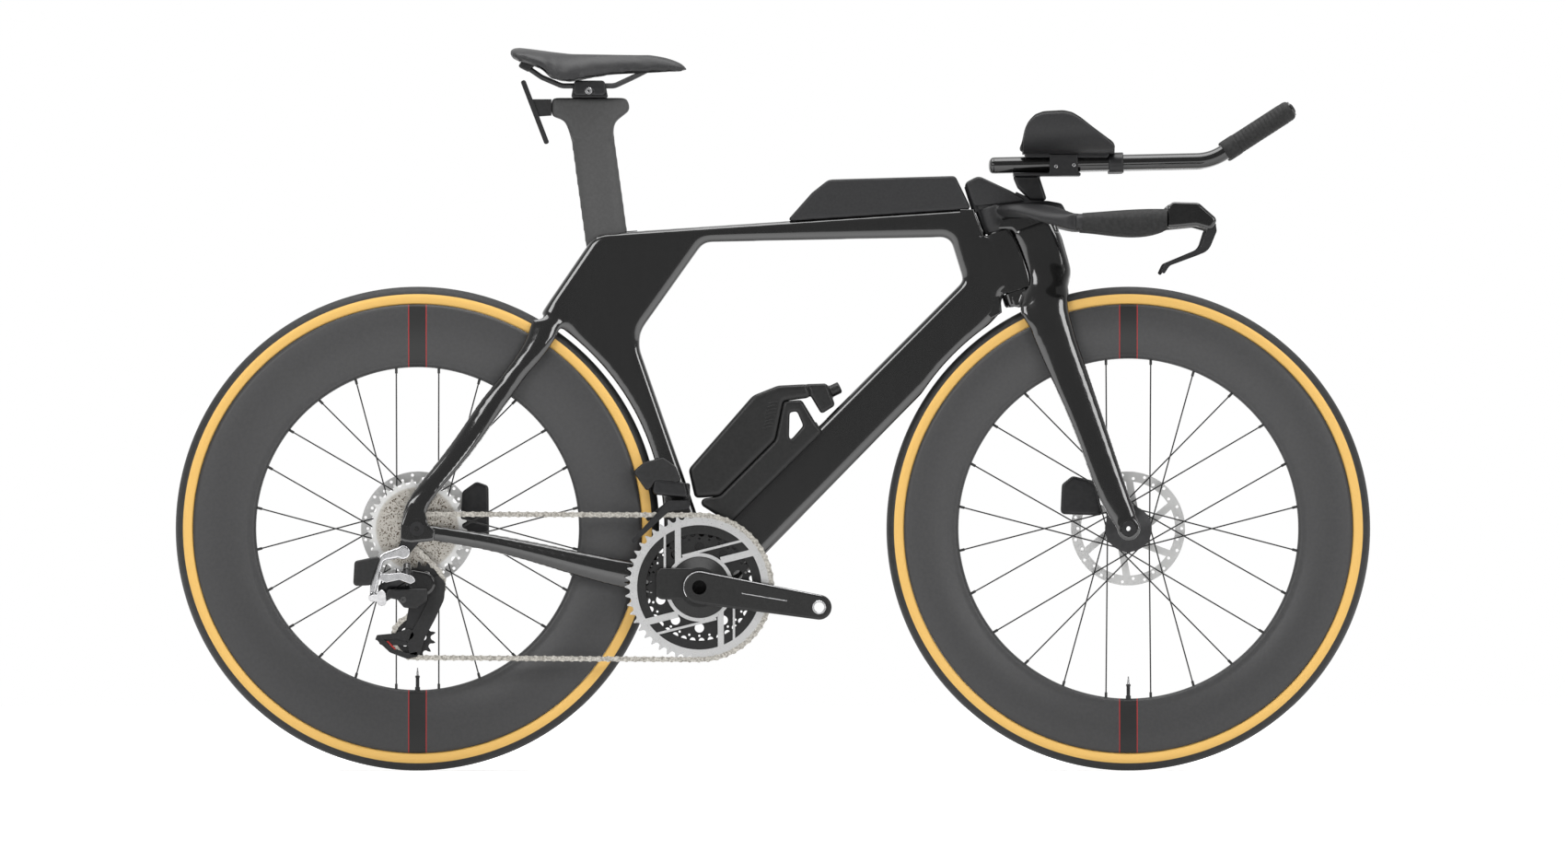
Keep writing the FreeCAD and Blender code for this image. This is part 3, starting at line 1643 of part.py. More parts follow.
def make_base_bar(fork):
    """Base bar in one piece with its stem, swept out and forward to the two grips."""
    stem_block = soft_slab(
        [
            (on_bar(-44.0, 3.5), 5.5),
            (on_bar(-14.0, 6.5), 20.0),
            (on_bar(36.0, 12.0), 20.0),
            (on_bar(58.0, 8.0), 6.0),
            (on_bar(66.0, -8.0), 6.0),
            (on_bar(54.0, -17.0), 6.0),
            (on_bar(20.0, -11.0), 30.0),
            (on_bar(-44.0, -13.0), 5.5),
        ],
        -18.0,
        18.0,
        5.0,
    )
    low = head_tube_length + 2 * moving_gap
    high = spatial(head(steerer_top - 1.0, 0), 0)
    hub = rod(spatial(head(low, 0), 0), high, steerer_radius + 2.5)
    skirt = rod(spatial(head(low + 7.0, 0), 0), high, steerer_radius + 4.2)
    arm = bar_arm()
    return unite(stem_block, hub, skirt, arm, mirror(arm)).cut(fork)


def make_stem_cover(bar, fork):
    """Cover behind and over the stem, rounded so that it can turn with the bar."""
    cover = slab(
        [
            (head(131.0, -20.0), 3.0),
            (head(165.0, -25.0), 8.0),
            (head(169.0, -2.0), 12.0),
            (head(136.0, 34.0), 8.0),
            (on_bar(11.0, 11.5), 2.5),
            (on_bar(-16.0, 8.0), 4.0),
        ],
        -15.0,
        15.0,
    )
    cover = soften(cover, 2.0, (-15.0, 15.0))
    turning_round = rod(spatial(head(80.0, 0), 0), spatial(head(220.0, 0), 0), 25.0)
    cover = cover.common(turning_round.fuse(ahead_of_axis(80.0, 220.0)))
    return cover.cut(bar).cut(fork)


def make_bar_grips():
    x = grip_at[0]
    z = grip_at[1]
    sleeve = loft_upright(
        [
            (x + 6.0, bar_half - 3.5, z, 12.6, 12.2),
            (x + 45.0, bar_half - 2.0, z - 0.5, 16.0, 14.5),
            (x + 92.0, bar_half - 0.8, z - 0.2, 18.4, 15.5),
            (grip_end[0], bar_half, grip_end[1], 14.6, 14.2),
        ]
    )
    return pair(sleeve.cut(bar_arm()))


lever_pivot = (grip_end[0] + 62.0, grip_end[1] - 8.0)
lever_half = 4.6
lever_pin = 2.4


def on_lever(dx, dz):
    return offset(lever_pivot, dx, dz)


def make_lever_bodies():
    """Lever housing on the end of each grip, slotted for the lever and with its pin."""
    y_from = bar_half - 11.0
    y_to = bar_half + 11.0
    shape = soft_slab(
        [
            (offset(grip_end, 0.2, 18.0), 4.5),
            (offset(grip_end, 8.0, 24.5), 6.0),
            (offset(grip_end, 44.0, 23.5), 10.0),
            (offset(grip_end, 71.0, 0.0), 8.0),
            (offset(grip_end, 62.0, -15.0), 7.0),
            (offset(grip_end, 40.0, -9.0), 8.0),
            (offset(grip_end, 0.2, -13.0), 4.5),
        ],
        y_from,
        y_to,
        4.0,
    )
    slot = slab(
        [
            (on_lever(-16.0, -40.0), 0.0),
            (on_lever(-16.0, 9.0), 0.0),
            (on_lever(30.0, 9.0), 0.0),
            (on_lever(30.0, -40.0), 0.0),
        ],
        bar_half - lever_half - rd_gap,
        bar_half + lever_half + rd_gap,
    )
    shape = shape.cut(slot)
    pin = cross_rod(lever_pivot, y_from + 1.0, y_to - 1.0, lever_pin)
    return pair(unite(shape, pin))


def make_lever():
    """Curved brake lever blade that hooks back under the grip, on the left side."""
    y_from = bar_half - lever_half
    y_to = bar_half + lever_half
    blade = slab(
        [
            (on_lever(6.0, 2.0), 2.0),
            (on_lever(7.5, -8.0), 8.0),
            (on_lever(-4.0, -36.0), 22.0),
            (on_lever(-58.0, -56.0), 12.0),
            (on_lever(-66.0, -68.0), 2.0),
            (on_lever(-70.0, -65.0), 2.0),
            (on_lever(-64.0, -52.0), 8.0),
            (on_lever(-14.0, -31.0), 16.0),
            (on_lever(-6.0, -6.0), 4.0),
        ],
        y_from,
        y_to,
    )
    boss = cross_rod(lever_pivot, y_from, y_to, 6.4)
    lever = unite(blade, boss)
    return lever.cut(cross_rod(lever_pivot, y_from - 1, y_to + 1, lever_pin + 0.08))


extension_y = extension_spread / 2
extension_at = on_bar(60.0, 63.0)
bridge_low = extension_at[1] - extension_radius - 5.5
bridge_high = bridge_low + 5.0


def make_riser(cover, bar):
    """Column from the stem up to the bridge that carries both extension clamps."""
    column = soft_slab(
        [
            ((bar_at[0] - 12.0, bridge_low + 2), 4.5),
            (on_bar(-4.0, 30.0), 4.5),
            (on_bar(14.0, 12.0), 4.5),
            (on_bar(38.0, 12.0), 4.5),
            ((bar_at[0] + 26.0, bridge_low + 2), 4.5),
        ],
        -16.0,
        16.0,
        4.0,
    )
    bridge = Part.makeBox(
        94.0,
        extension_spread + 34.0,
        bridge_high - bridge_low,
        V(bar_at[0] - 10.0, -extension_y - 17.0, bridge_low),
    )
    return unite(column, bridge).cut(cover).cut(bar).cut(pair(extension_solid(extension_radius)))


bend_at = offset(extension_at, 207.0, 5.0)
tip_at = offset(bend_at, 113.0, 73.0)
extension_back = offset(extension_at, -97.0, -1.5)
cup_y = extension_y + 17.0
cup_radius = 46.0
cup_wall = 4.0
cup_low = extension_at[1] + extension_radius + 3.0


def extension_points():
    return [
        spatial(extension_back, extension_y),
        spatial(bend_at, extension_y),
        spatial(tip_at, extension_y),
    ]


def extension_solid(radius):
    return bent_rod(extension_points(), radius, 70.0)


def make_extensions():
    return pair(extension_solid(extension_radius).cut(extension_solid(extension_radius - 2.2)))


grip_way = ((tip_at[0] - bend_at[0]), (tip_at[1] - bend_at[1]))
grip_run = math.hypot(*grip_way)
grip_way = (grip_way[0] / grip_run, grip_way[1] / grip_run)


def on_extension(along):
    return V(bend_at[0] + along * grip_way[0], extension_y, bend_at[1] + along * grip_way[1])


def make_extension_grips():
    """Sleeves on the raised ends, with a collar at the lower edge."""
    sleeve = rod(on_extension(28.0), on_extension(grip_run - 3.0), extension_grip_radius, extension_radius)
    collar = rod(on_extension(24.0), on_extension(28.0), extension_radius + 1.8, extension_radius)
    return pair(unite(sleeve, collar))


button_gap = 0.3


def make_button():
    """Shift button in the open end of the left extension."""
    stem_radius = extension_radius - 2.2 - button_gap
    return rod(on_extension(grip_run - 9.0), on_extension(grip_run + 2.5), stem_radius)


def cup_outline(rise):
    return [
        (offset(extension_at, -58.0, cup_low - extension_at[1] - 6.0 + rise), 0.0),
        (offset(extension_at, -51.5, 55.0 + rise), 20.0),
        (offset(extension_at, -37.0, 72.0 + rise), 12.0),
        (offset(extension_at, 11.0, 72.5 + rise), 14.0),
        (offset(extension_at, 74.0, 22.0 + rise), 5.0),
        (offset(extension_at, 74.0, cup_low - extension_at[1] - 6.0 + rise), 0.0),
    ]


def trough(outer, inner, x_from, x_to, rise):
    """Part of a tube along X, trimmed to the side outline of the cup."""
    z = cup_low + cup_radius
    tube = rod(V(x_from, cup_y, z), V(x_to, cup_y, z), outer, inner)
    return tube.common(slab(cup_outline(rise), cup_y - 60.0, cup_y + 60.0))


def make_arm_cups():
    x = extension_at[0]
    return pair(trough(cup_radius, cup_radius - cup_wall, x - 57.0, x + 73.0, 0.0))


def make_arm_pads():
    x = extension_at[0]
    outer = cup_radius - cup_wall - 0.2
    return pair(trough(outer, outer - 7.0, x - 53.5, x + 69.0, 4.0))


def make_extension_clamps():
    """Split clamp round each extension with the seat of the arm cup, and the strap ahead of it."""
    x = extension_at[0]
    block = Part.makeBox(
        40.0, 34.0, cup_low + 6.0 - bridge_high, V(x - 20.0, extension_y - 17.0, bridge_high)
    )
    cup_hole = rod(V(x - 60, cup_y, cup_low + cup_radius), V(x + 90, cup_y, cup_low + cup_radius), cup_radius)
    block = block.cut(extension_solid(extension_radius)).cut(cup_hole)
    strap = rod(
        V(x + 63.0, extension_y, extension_at[1] + 1.5),
        V(x + 84.0, extension_y, extension_at[1] + 2.0),
        extension_radius + 3.5,
    )
    strap = strap.cut(extension_solid(extension_radius)).cut(cup_hole)
    solids = block.Solids + strap.Solids
    left = Part.makeCompound(solids)
    return Part.makeCompound([left, mirror(left)])


# Brakes
def make_caliper(axle, corners, rotor_y, seat):
    """Caliper body over the rotor with its two pads, seated on the frame piece beside it."""
    y_from = rotor_y - 13.0
    y_to = rotor_y + 15.0
    body = soft_slab(corners, y_from, y_to, 3.0)
    half = rotor_thickness / 2
    slot = cross_rod(axle, rotor_y - half - 2.6, rotor_y + half + 2.6, rotor_diameter / 2 + 3.0)
    body = body.cut(slot).cut(seat)
    pads = []
    centre = (
        sum(c[0][0] for c in corners) / len(corners),
        sum(c[0][1] for c in corners) / len(corners),
    )
    reach = math.hypot(centre[0] - axle[0], centre[1] - axle[1])
    middle = rotor_diameter / 2 - rotor_track / 2
    at = offset(axle, (centre[0] - axle[0]) * middle / reach, (centre[1] - axle[1]) * middle / reach)
    for way in (-1, 1):
        near = rotor_y + way * (half + pad_gap)
        far = rotor_y + way * (half + 2.6)
        pads.append(cross_rod(at, min(near, far), max(near, far), rotor_track / 2 - 1.0))
    largest = max(body.Solids, key=lambda solid: solid.Volume)
    return Part.makeCompound([largest] + pads)


def make_rear_caliper(stays):
    low = rear_axle_at
    corners = [
        (offset(low, 58.0, -14.0), 4.0),
        (offset(low, 62.0, 52.0), 6.0),
        (offset(low, 82.0, 66.0), 6.0),
        (offset(low, 99.0, 60.0), 6.0),
        (offset(low, 100.0, -20.0), 4.0),
    ]
    return make_caliper(low, corners, rear_rotor_y, stays)


def make_front_caliper(fork):
    low = front_axle_at
    corners = [
        (offset(low, -95.0, 20.0), 6.0),
        (offset(low, -93.0, 62.0), 6.0),
        (offset(low, -78.0, 74.0), 6.0),
        (offset(low, -44.0, 66.0), 4.0),
        (offset(low, -36.0, 18.0), 4.0),
    ]
    return make_caliper(low, corners, front_rotor_y, fork)


# Storage box and bottle
def make_storage_box():
    top = top_back
    slope = (head_top[1] - top[1]) / (head_top[0] - top[0])

    def on_tube(x):
        return (x, top[1] + slope * (x - top[0]))

    back = head_top[0] - 261.0
    front = head_top[0] - 4.0
    return soft_slab(
        [
            (on_tube(back), 2.0),
            (offset(head_top, -226.0, 22.0), 14.0),
            (offset(head_top, -203.0, 40.0), 14.0),
            (offset(head_top, -26.0, 45.0), 5.0),
            (on_tube(front), 2.0),
        ],
        -frame_half + 1.5,
        frame_half - 1.5,
        1.8,
    )


bottle_half = 25.0
cradle_gap = 0.7
bottle_seat = (
    ((56.7, 125.2), 6.0),
    ((85.4, 102.9), 8.0),
    ((197.1, 101.5), 12.0),
    ((243.5, 131.3), 4.0),
)


def make_cradle(frame):
    """Cradle on the down tube: a floor that follows the bottle and a tall front arm with a window."""
    corners = [(on_down_tube(*p), r) for p, r in bottle_seat]
    corners += [
        (on_down_tube(262.4, 114.8), 6.0),
        (on_down_tube(252.7, 77.5), 6.0),
        (on_down_tube(251.1, 63.4), 4.0),
        (on_down_tube(68.7, 67.0), 6.0),
    ]
    window = [
        (on_down_tube(238.3, 115.1), 3.0),
        (on_down_tube(247.4, 108.7), 3.0),
        (on_down_tube(238.7, 87.6), 3.0),
        (on_down_tube(206.8, 85.8), 3.0),
    ]
    body = soft_slab(corners, -bottle_half, bottle_half, 3.0)
    body = body.cut(slab(window, -bottle_half - 1, bottle_half + 1))
    body = body.cut(frame)
    return max(body.Solids, key=lambda solid: solid.Volume)


def make_bottle():
    """Flat-sided bottle with a cap and a nozzle."""
    seat = [(on_down_tube(p[0], p[1] + cradle_gap), r) for p, r in reversed(bottle_seat)]
    body = soft_slab(
        [
            (on_down_tube(82.6, 160.2), 10.0),
            (on_down_tube(219.2, 167.7), 20.0),
            (on_down_tube(253.6, 152.4), 20.0),
            (on_down_tube(283.0, 125.2), 6.0),
            (on_down_tube(275.7, 106.9), 6.0),
            (on_down_tube(261.7, 118.4), 6.0),
        ]
        + seat[:3]
        + [(on_down_tube(60.3, 125.8), 6.0)],
        -bottle_half,
        bottle_half,
        5.0,
    )
    cap = soft_slab(
        [
            (on_down_tube(280.6, 127.7), 3.0),
            (on_down_tube(303.3, 105.8), 4.0),
            (on_down_tube(290.2, 76.3), 4.0),
            (on_down_tube(268.3, 81.5), 3.0),
        ],
        -18.0,
        18.0,
        2.5,
    )
    nozzle = rod(
        spatial(on_down_tube(295.4, 95.3), 0),
        spatial(on_down_tube(313.0, 88.8), 0),
        8.0,
    )
    return Part.makeCompound([body, cap.fuse(nozzle).removeSplitter().cut(body)])


nodes = {}


def build_frame():
    frame = make_frame().cut(wedge_hole()).cut(wedge_block(moving_gap))
    nodes["frame"] = frame
    nodes["frame_bearings"] = make_bearings()
    nodes["seatstays"] = make_seatstays()
    nodes["chainstays"] = make_chainstays()
    nodes["rear_axle"] = make_rear_axle()
    nodes["derailleur_hanger"] = make_hanger()
    nodes["storage_box"] = make_storage_box()
    nodes["bottle_cradle"] = make_cradle(frame)
    nodes["bottle"] = make_bottle()
    nodes["rear_caliper"] = make_rear_caliper(nodes["chainstays"])
    nodes["seatpost_wedge"] = make_wedge()


def build_wheels():
    for side, axle, depth in (
        ("rear", rear_axle_at, rear_rim_depth),
        ("front", front_axle_at, front_rim_depth),
    ):
        nodes[side + "_tyre"] = make_tyre(axle)
        nodes[side + "_rim"] = Part.makeCompound([make_rim(axle, depth), make_valve(axle, depth)])
    nodes["rear_spokes"] = make_spokes(rear_axle_at, rear_rim_depth, rear_left_flange, rear_right_flange)
    nodes["front_spokes"] = make_spokes(front_axle_at, front_rim_depth, front_left_flange, front_right_flange)
    nodes["rear_hub"] = make_hub(
        rear_axle_at,
        rear_spacing / 2 - end_gap,
        rear_left_flange,
        rear_right_flange,
        hub_right_end,
        rear_rotor_y,
    )
    nodes["front_hub"] = make_hub(
        front_axle_at,
        front_spacing / 2 - end_gap,
        front_left_flange,
        front_right_flange,
        -front_spacing / 2 + end_gap,
        front_rotor_y,
    )
    nodes["rear_rotor"] = make_rotor(rear_axle_at, rear_rotor_y)
    nodes["front_rotor"] = make_rotor(front_axle_at, front_rotor_y)


def build_drivetrain():
    nodes["chain"] = make_chain()
    nodes["cassette"] = make_cassette()
    nodes["crank_right"] = make_crank_right()
    nodes["crank_left"] = make_crank_left()
    nodes["chainring_outer"] = make_outer_ring()
    nodes["chainring_inner"] = make_inner_ring()
    nodes["front_derailleur_body"] = make_fd_body()
    nodes["front_derailleur_battery"] = make_fd_battery(nodes["front_derailleur_body"])
    nodes["front_derailleur_cage"] = make_fd_cage()
    nodes["rear_derailleur_base"] = make_rd_base()
    nodes["rear_derailleur_battery"] = make_rd_battery(nodes["rear_derailleur_base"])
    nodes["rear_derailleur_outer_link"] = make_rd_link(pivot_outer, knuckle_outer)
    nodes["rear_derailleur_inner_link"] = make_rd_link(pivot_inner, knuckle_inner)
    nodes["rear_derailleur_knuckle"] = make_rd_knuckle()
    nodes["rear_derailleur_cage"] = make_rd_cage()
    nodes["guide_pulley"] = make_pulley(guide_at, "guide")
    nodes["tension_pulley"] = make_pulley(tension_rest, "tension")


def build_seat():
    nodes["seatpost"] = make_seatpost()
    nodes["saddle_clamp"] = make_saddle_clamp()
    nodes["saddle_rails"] = make_rails()
    nodes["saddle_shell"] = make_saddle_shell()
    nodes["saddle_pad"] = make_saddle_pad().cut(nodes["saddle_shell"]).cut(nodes["saddle_rails"])
    nodes["rear_bottle_mount"] = make_bottle_mount()


def build_cockpit():
    fork = make_fork()
    bar = make_base_bar(fork)
    cover = make_stem_cover(bar, fork)
    nodes["fork"] = fork
    nodes["front_axle"] = make_front_axle()
    nodes["front_caliper"] = make_front_caliper(fork)
    nodes["base_bar"] = bar
    nodes["stem_cover"] = cover
    nodes["bar_grips"] = make_bar_grips()
    nodes["lever_bodies"] = make_lever_bodies()
    lever = make_lever()
    nodes["brake_lever_left"] = lever
    nodes["brake_lever_right"] = mirror(lever)
    nodes["riser"] = Part.makeCompound([make_riser(cover, bar), make_extension_clamps()])
    nodes["extensions"] = make_extensions()
    nodes["extension_grips"] = make_extension_grips()
    button = make_button()
    nodes["shift_button_left"] = button
    nodes["shift_button_right"] = mirror(button)
    nodes["arm_cups"] = make_arm_cups()
    nodes["arm_pads"] = make_arm_pads()


if __name__ == "__main__":
    os.makedirs("parts", exist_ok=True)
    build_frame()
    build_wheels()
    build_drivetrain()
    build_seat()
    build_cockpit()
    for name, shape in nodes.items():
        print(name, shape.isValid(), len(shape.Solids), round(shape.Volume), flush=True)
        shape.exportStep("parts/" + name + ".step")
    print("chain links", link_count, "cage lean", round(rest_lean, 2))
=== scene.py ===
import bpy, bmesh, json, math
from mathutils import Vector, Matrix


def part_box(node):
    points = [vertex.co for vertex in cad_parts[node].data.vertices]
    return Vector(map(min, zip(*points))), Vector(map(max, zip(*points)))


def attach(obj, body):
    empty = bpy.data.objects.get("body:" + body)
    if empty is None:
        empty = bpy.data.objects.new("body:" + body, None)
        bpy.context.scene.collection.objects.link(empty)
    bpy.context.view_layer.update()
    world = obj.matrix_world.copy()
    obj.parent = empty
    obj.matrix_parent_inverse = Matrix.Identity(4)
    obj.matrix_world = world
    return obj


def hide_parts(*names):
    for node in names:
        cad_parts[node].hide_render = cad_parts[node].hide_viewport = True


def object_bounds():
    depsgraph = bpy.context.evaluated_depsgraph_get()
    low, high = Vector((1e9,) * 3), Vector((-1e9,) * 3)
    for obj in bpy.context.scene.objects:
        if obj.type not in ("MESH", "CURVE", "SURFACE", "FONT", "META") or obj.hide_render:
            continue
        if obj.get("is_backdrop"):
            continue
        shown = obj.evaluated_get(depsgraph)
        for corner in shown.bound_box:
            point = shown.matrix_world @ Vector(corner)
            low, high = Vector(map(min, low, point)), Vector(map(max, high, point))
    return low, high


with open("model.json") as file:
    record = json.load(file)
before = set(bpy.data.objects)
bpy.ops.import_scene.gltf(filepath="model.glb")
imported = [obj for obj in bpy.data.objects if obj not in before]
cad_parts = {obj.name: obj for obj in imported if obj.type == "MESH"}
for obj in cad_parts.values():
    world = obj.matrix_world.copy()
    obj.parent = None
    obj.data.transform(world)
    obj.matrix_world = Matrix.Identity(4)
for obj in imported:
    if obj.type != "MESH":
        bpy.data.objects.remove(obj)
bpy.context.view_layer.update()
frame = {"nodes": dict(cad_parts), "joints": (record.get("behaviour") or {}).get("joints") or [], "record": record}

# %% [markdown]
# ## A time trial bicycle
# The bicycle stands in profile, drive side to the viewer, on a white studio floor. Sizes are in
# metres: X points forward, Z up, and the drive side lies at negative Y. The measured parts come from
# the CAD model. This lesson gives them their finishes and makes the moulded, rubber and padded pieces.

# %% Places taken from the model
MM = 0.001
JOINTS = {j["name"]: j for j in frame["joints"]}
NODES = frame["nodes"]


def anchor(joint):
    return Vector(JOINTS[joint]["pos_m"])


REAR_AXLE = anchor("rear_wheel_spin")
FRONT_AXLE = anchor("front_wheel_spin")
CRANK = anchor("crank_spin")
AXLES = {"rear": REAR_AXLE, "front": FRONT_AXLE}
print("axles at", tuple(REAR_AXLE), tuple(FRONT_AXLE), "cranks at", tuple(CRANK))


# %% Adding an object to the scene
def add_object(name, data):
    obj = bpy.data.objects.new(name, data)
    bpy.context.scene.collection.objects.link(obj)
    return obj


# %% [markdown]
# ### Camera
# The photograph was taken from far away at the height of the chainrings, so verticals stay upright
# and both wheels look round. A very long lens forty metres off gives the same picture.

# %% Camera
CAMERA_AWAY = 40.0
PICTURE_WIDTH = 2.1977
PICTURE_MIDDLE = (0.0155, 0.4835)
SENSOR = 36.0
cam_data = bpy.data.cameras.new("photo_camera")
cam_data.sensor_fit = "HORIZONTAL"
cam_data.sensor_width = SENSOR
cam_data.lens = SENSOR * CAMERA_AWAY / PICTURE_WIDTH
camera = add_object("photo_camera", cam_data)
camera.location = (PICTURE_MIDDLE[0], -CAMERA_AWAY, PICTURE_MIDDLE[1])
camera.rotation_euler = (math.radians(90), 0, 0)
bpy.context.scene.camera = camera
print("lens", round(cam_data.lens, 1), "mm")

# %% [markdown]
# ### Helpers for materials
# Every finish is procedural. Small functions wire the nodes, and effects that several finishes share,
# such as fine grain or the radius about an axle, are node groups with named sockets.

# %% Node helpers
bpy.context.scene.view_settings.view_transform = "Standard"


def new_group(name, inputs, outputs):
    group = bpy.data.node_groups.new(name, "ShaderNodeTree")
    for label, kind, value in inputs:
        socket = group.interface.new_socket(label, in_out="INPUT", socket_type="NodeSocket" + kind)
        socket.default_value = value
    for label, kind in outputs:
        group.interface.new_socket(label, in_out="OUTPUT", socket_type="NodeSocket" + kind)
    start = group.nodes.new("NodeGroupInput")
    end = group.nodes.new("NodeGroupOutput")
    return group, start, end


def feed(tree, socket, value):
    if isinstance(value, bpy.types.NodeSocket):
        tree.links.new(value, socket)
    elif socket.type == "RGBA":
        socket.default_value = (*value, 1.0)
    else:
        socket.default_value = value


def make(tree, kind, inputs=None, **settings):
    node = tree.nodes.new("ShaderNode" + kind)
    for name, value in settings.items():
        setattr(node, name, value)
    for key, value in (inputs or {}).items():
        feed(tree, node.inputs[key], value)
    return node


def math_node(tree, operation, *values):
    return make(tree, "Math", dict(enumerate(values)), operation=operation).outputs[0]


def step_between(tree, value, low, high):
    span = {"Value": value, "From Min": low, "From Max": high}
    return make(tree, "MapRange", span, interpolation_type="SMOOTHSTEP").outputs["Result"]


def scale_to(tree, value, low, high):
    return make(tree, "MapRange", {"Value": value, "To Min": low, "To Max": high}).outputs["Result"]


# %% Shared groups: grain, radius about an axle, fibre lines
grain, g_in, g_out = new_group(
    "fine_grain",
    [("Scale", "Float", 900.0), ("Low", "Float", 0.4), ("High", "Float", 0.5)],
    [("Value", "Float"), ("Height", "Float")])
here = make(grain, "TexCoord").outputs["Object"]
noise = make(grain, "TexNoise", {"Vector": here, "Scale": g_in.outputs["Scale"], "Detail": 4.0})
span = make(grain, "MapRange", {"Value": noise.outputs["Fac"], "From Min": 0.3, "From Max": 0.7,
                                "To Min": g_in.outputs["Low"], "To Max": g_in.outputs["High"]})
feed(grain, g_out.inputs["Value"], span.outputs["Result"])
feed(grain, g_out.inputs["Height"], noise.outputs["Fac"])

polar, p_in, p_out = new_group(
    "about_axle", [("Centre", "Vector", (0, 0, 0))],
    [("Radius", "Float"), ("Angle", "Float"), ("Across", "Float"), ("Along", "Float")])
here = make(polar, "TexCoord").outputs["Object"]
offset = make(polar, "VectorMath", {0: here, 1: p_in.outputs["Centre"]}, operation="SUBTRACT")
split = make(polar, "SeparateXYZ", {0: offset.outputs["Vector"]}).outputs
square = math_node(polar, "ADD", math_node(polar, "MULTIPLY", split["X"], split["X"]),
                   math_node(polar, "MULTIPLY", split["Z"], split["Z"]))
feed(polar, p_out.inputs["Radius"], math_node(polar, "SQRT", square))
feed(polar, p_out.inputs["Angle"], math_node(polar, "ARCTAN2", split["Z"], split["X"]))
feed(polar, p_out.inputs["Across"], split["X"])
feed(polar, p_out.inputs["Along"], split["Y"])

weave, w_in, w_out = new_group(
    "fibre_lines",
    [("Scale", "Float", 260.0), ("Stretch", "Vector", (1, 1, 0.04))],
    [("Value", "Float")])
here = make(weave, "TexCoord").outputs["Object"]
scaled = make(weave, "VectorMath", {0: here, 1: w_in.outputs["Stretch"]}, operation="MULTIPLY")
noise = make(weave, "TexNoise", {"Vector": scaled.outputs["Vector"], "Scale": w_in.outputs["Scale"],
                                 "Detail": 3.0})
feed(weave, w_out.inputs["Value"], noise.outputs["Fac"])
print("groups:", [g.name for g in bpy.data.node_groups])

# %% A finish from two close tones and a grain
COAT_ROUGH = 0.04
TONE_SHARE = 0.17


def grey(value, blue=0.0):
    return (value, value, value + blue)


def use_group(tree, group, **values):
    return make(tree, "Group", values, node_tree=group).outputs


def mix_colour(tree, factor, low, high):
    return make(tree, "Mix", {0: factor, 6: low, 7: high}, data_type="RGBA").outputs[2]


def add_bump(tree, shader, height, strength, distance):
    bump = make(tree, "Bump", {"Height": height, "Strength": strength, "Distance": distance})
    feed(tree, shader.inputs["Normal"], bump.outputs["Normal"])


def opened(material):
    tree = material.node_tree
    return tree, tree.nodes["Principled BSDF"]


def paint(tree, shader, colour):
    feed(tree, shader.inputs["Base Color"], colour)


def painted(shader):
    return shader.inputs["Base Color"].links[0].from_socket


def finish(name, dark, light, rough, metal=0.0, scale=900.0,
           bump=0.0, coat=0.0, depth=0.0002, shine=0.5):
    material = bpy.data.materials.new(name)
    material.use_nodes = True
    tree, shader = opened(material)
    shader.inputs["Metallic"].default_value = metal
    shader.inputs["Specular IOR Level"].default_value = shine
    if coat:
        shader.inputs["Coat Weight"].default_value = coat
        shader.inputs["Coat Roughness"].default_value = COAT_ROUGH
    speckle = use_group(tree, grain, Scale=scale, Low=rough[0], High=rough[1])
    tone = use_group(tree, grain, Scale=scale * TONE_SHARE, Low=0.0, High=1.0)
    paint(tree, shader, mix_colour(tree, tone["Value"], dark, light))
    feed(tree, shader.inputs["Roughness"], speckle["Value"])
    if bump:
        add_bump(tree, shader, speckle["Height"], bump, depth)
    return material


# %% [markdown]
# ### Studio
# White paper under and behind the bicycle. The floor glows a little to the camera, so the paper reads
# as white and only the soft shadow below the tyres stays.

# %% World
FRONT_LEVEL, BACK_LEVEL = 0.26, 0.9
ROOM_TURN = (-0.75, 0.25)
world = bpy.data.worlds.new("studio")
world.use_nodes = True
bpy.context.scene.world = world
tree = world.node_tree
back = tree.nodes["Background"]
paths = make(tree, "LightPath").outputs
sky = make(tree, "TexCoord").outputs["Generated"]
room = step_between(tree, make(tree, "SeparateXYZ", {0: sky}).outputs["Y"], *ROOM_TURN)
shade = scale_to(tree, room, FRONT_LEVEL, BACK_LEVEL)
mirrored = math_node(tree, "MULTIPLY", paths["Is Glossy Ray"], room)
through = math_node(tree, "MAXIMUM", paths["Is Transmission Ray"], mirrored)
plain = math_node(tree, "MAXIMUM", paths["Is Camera Ray"], through)
level = math_node(tree, "MAXIMUM", plain, shade)
feed(tree, back.inputs["Strength"], level)
back.inputs["Color"].default_value = (1, 1, 1, 1)
print("room light", FRONT_LEVEL, "in front and", BACK_LEVEL, "behind")


# %% Lamps
def softbox(name, place, aim, wide, high, watts):
    data = bpy.data.lights.new(name, "AREA")
    data.shape = "RECTANGLE"
    data.size, data.size_y = wide, high
    data.energy = watts
    lamp = add_object(name, data)
    lamp.location = place
    lamp.rotation_euler = (Vector(aim) - Vector(place)).to_track_quat("-Z", "Y").to_euler()
    print(name, watts, "W")


softbox("softbox_top", (0.0, -0.4, 3.0), (0, 0, 0.5), wide=3.4, high=1.8, watts=85)
softbox("softbox_left", (-2.6, -4.4, 2.4), (-0.2, 0, 0.5), wide=2.0, high=2.0, watts=75)
softbox("softbox_right", (2.9, -4.2, 1.9), (0.2, 0, 0.5), wide=1.6, high=1.8, watts=55)

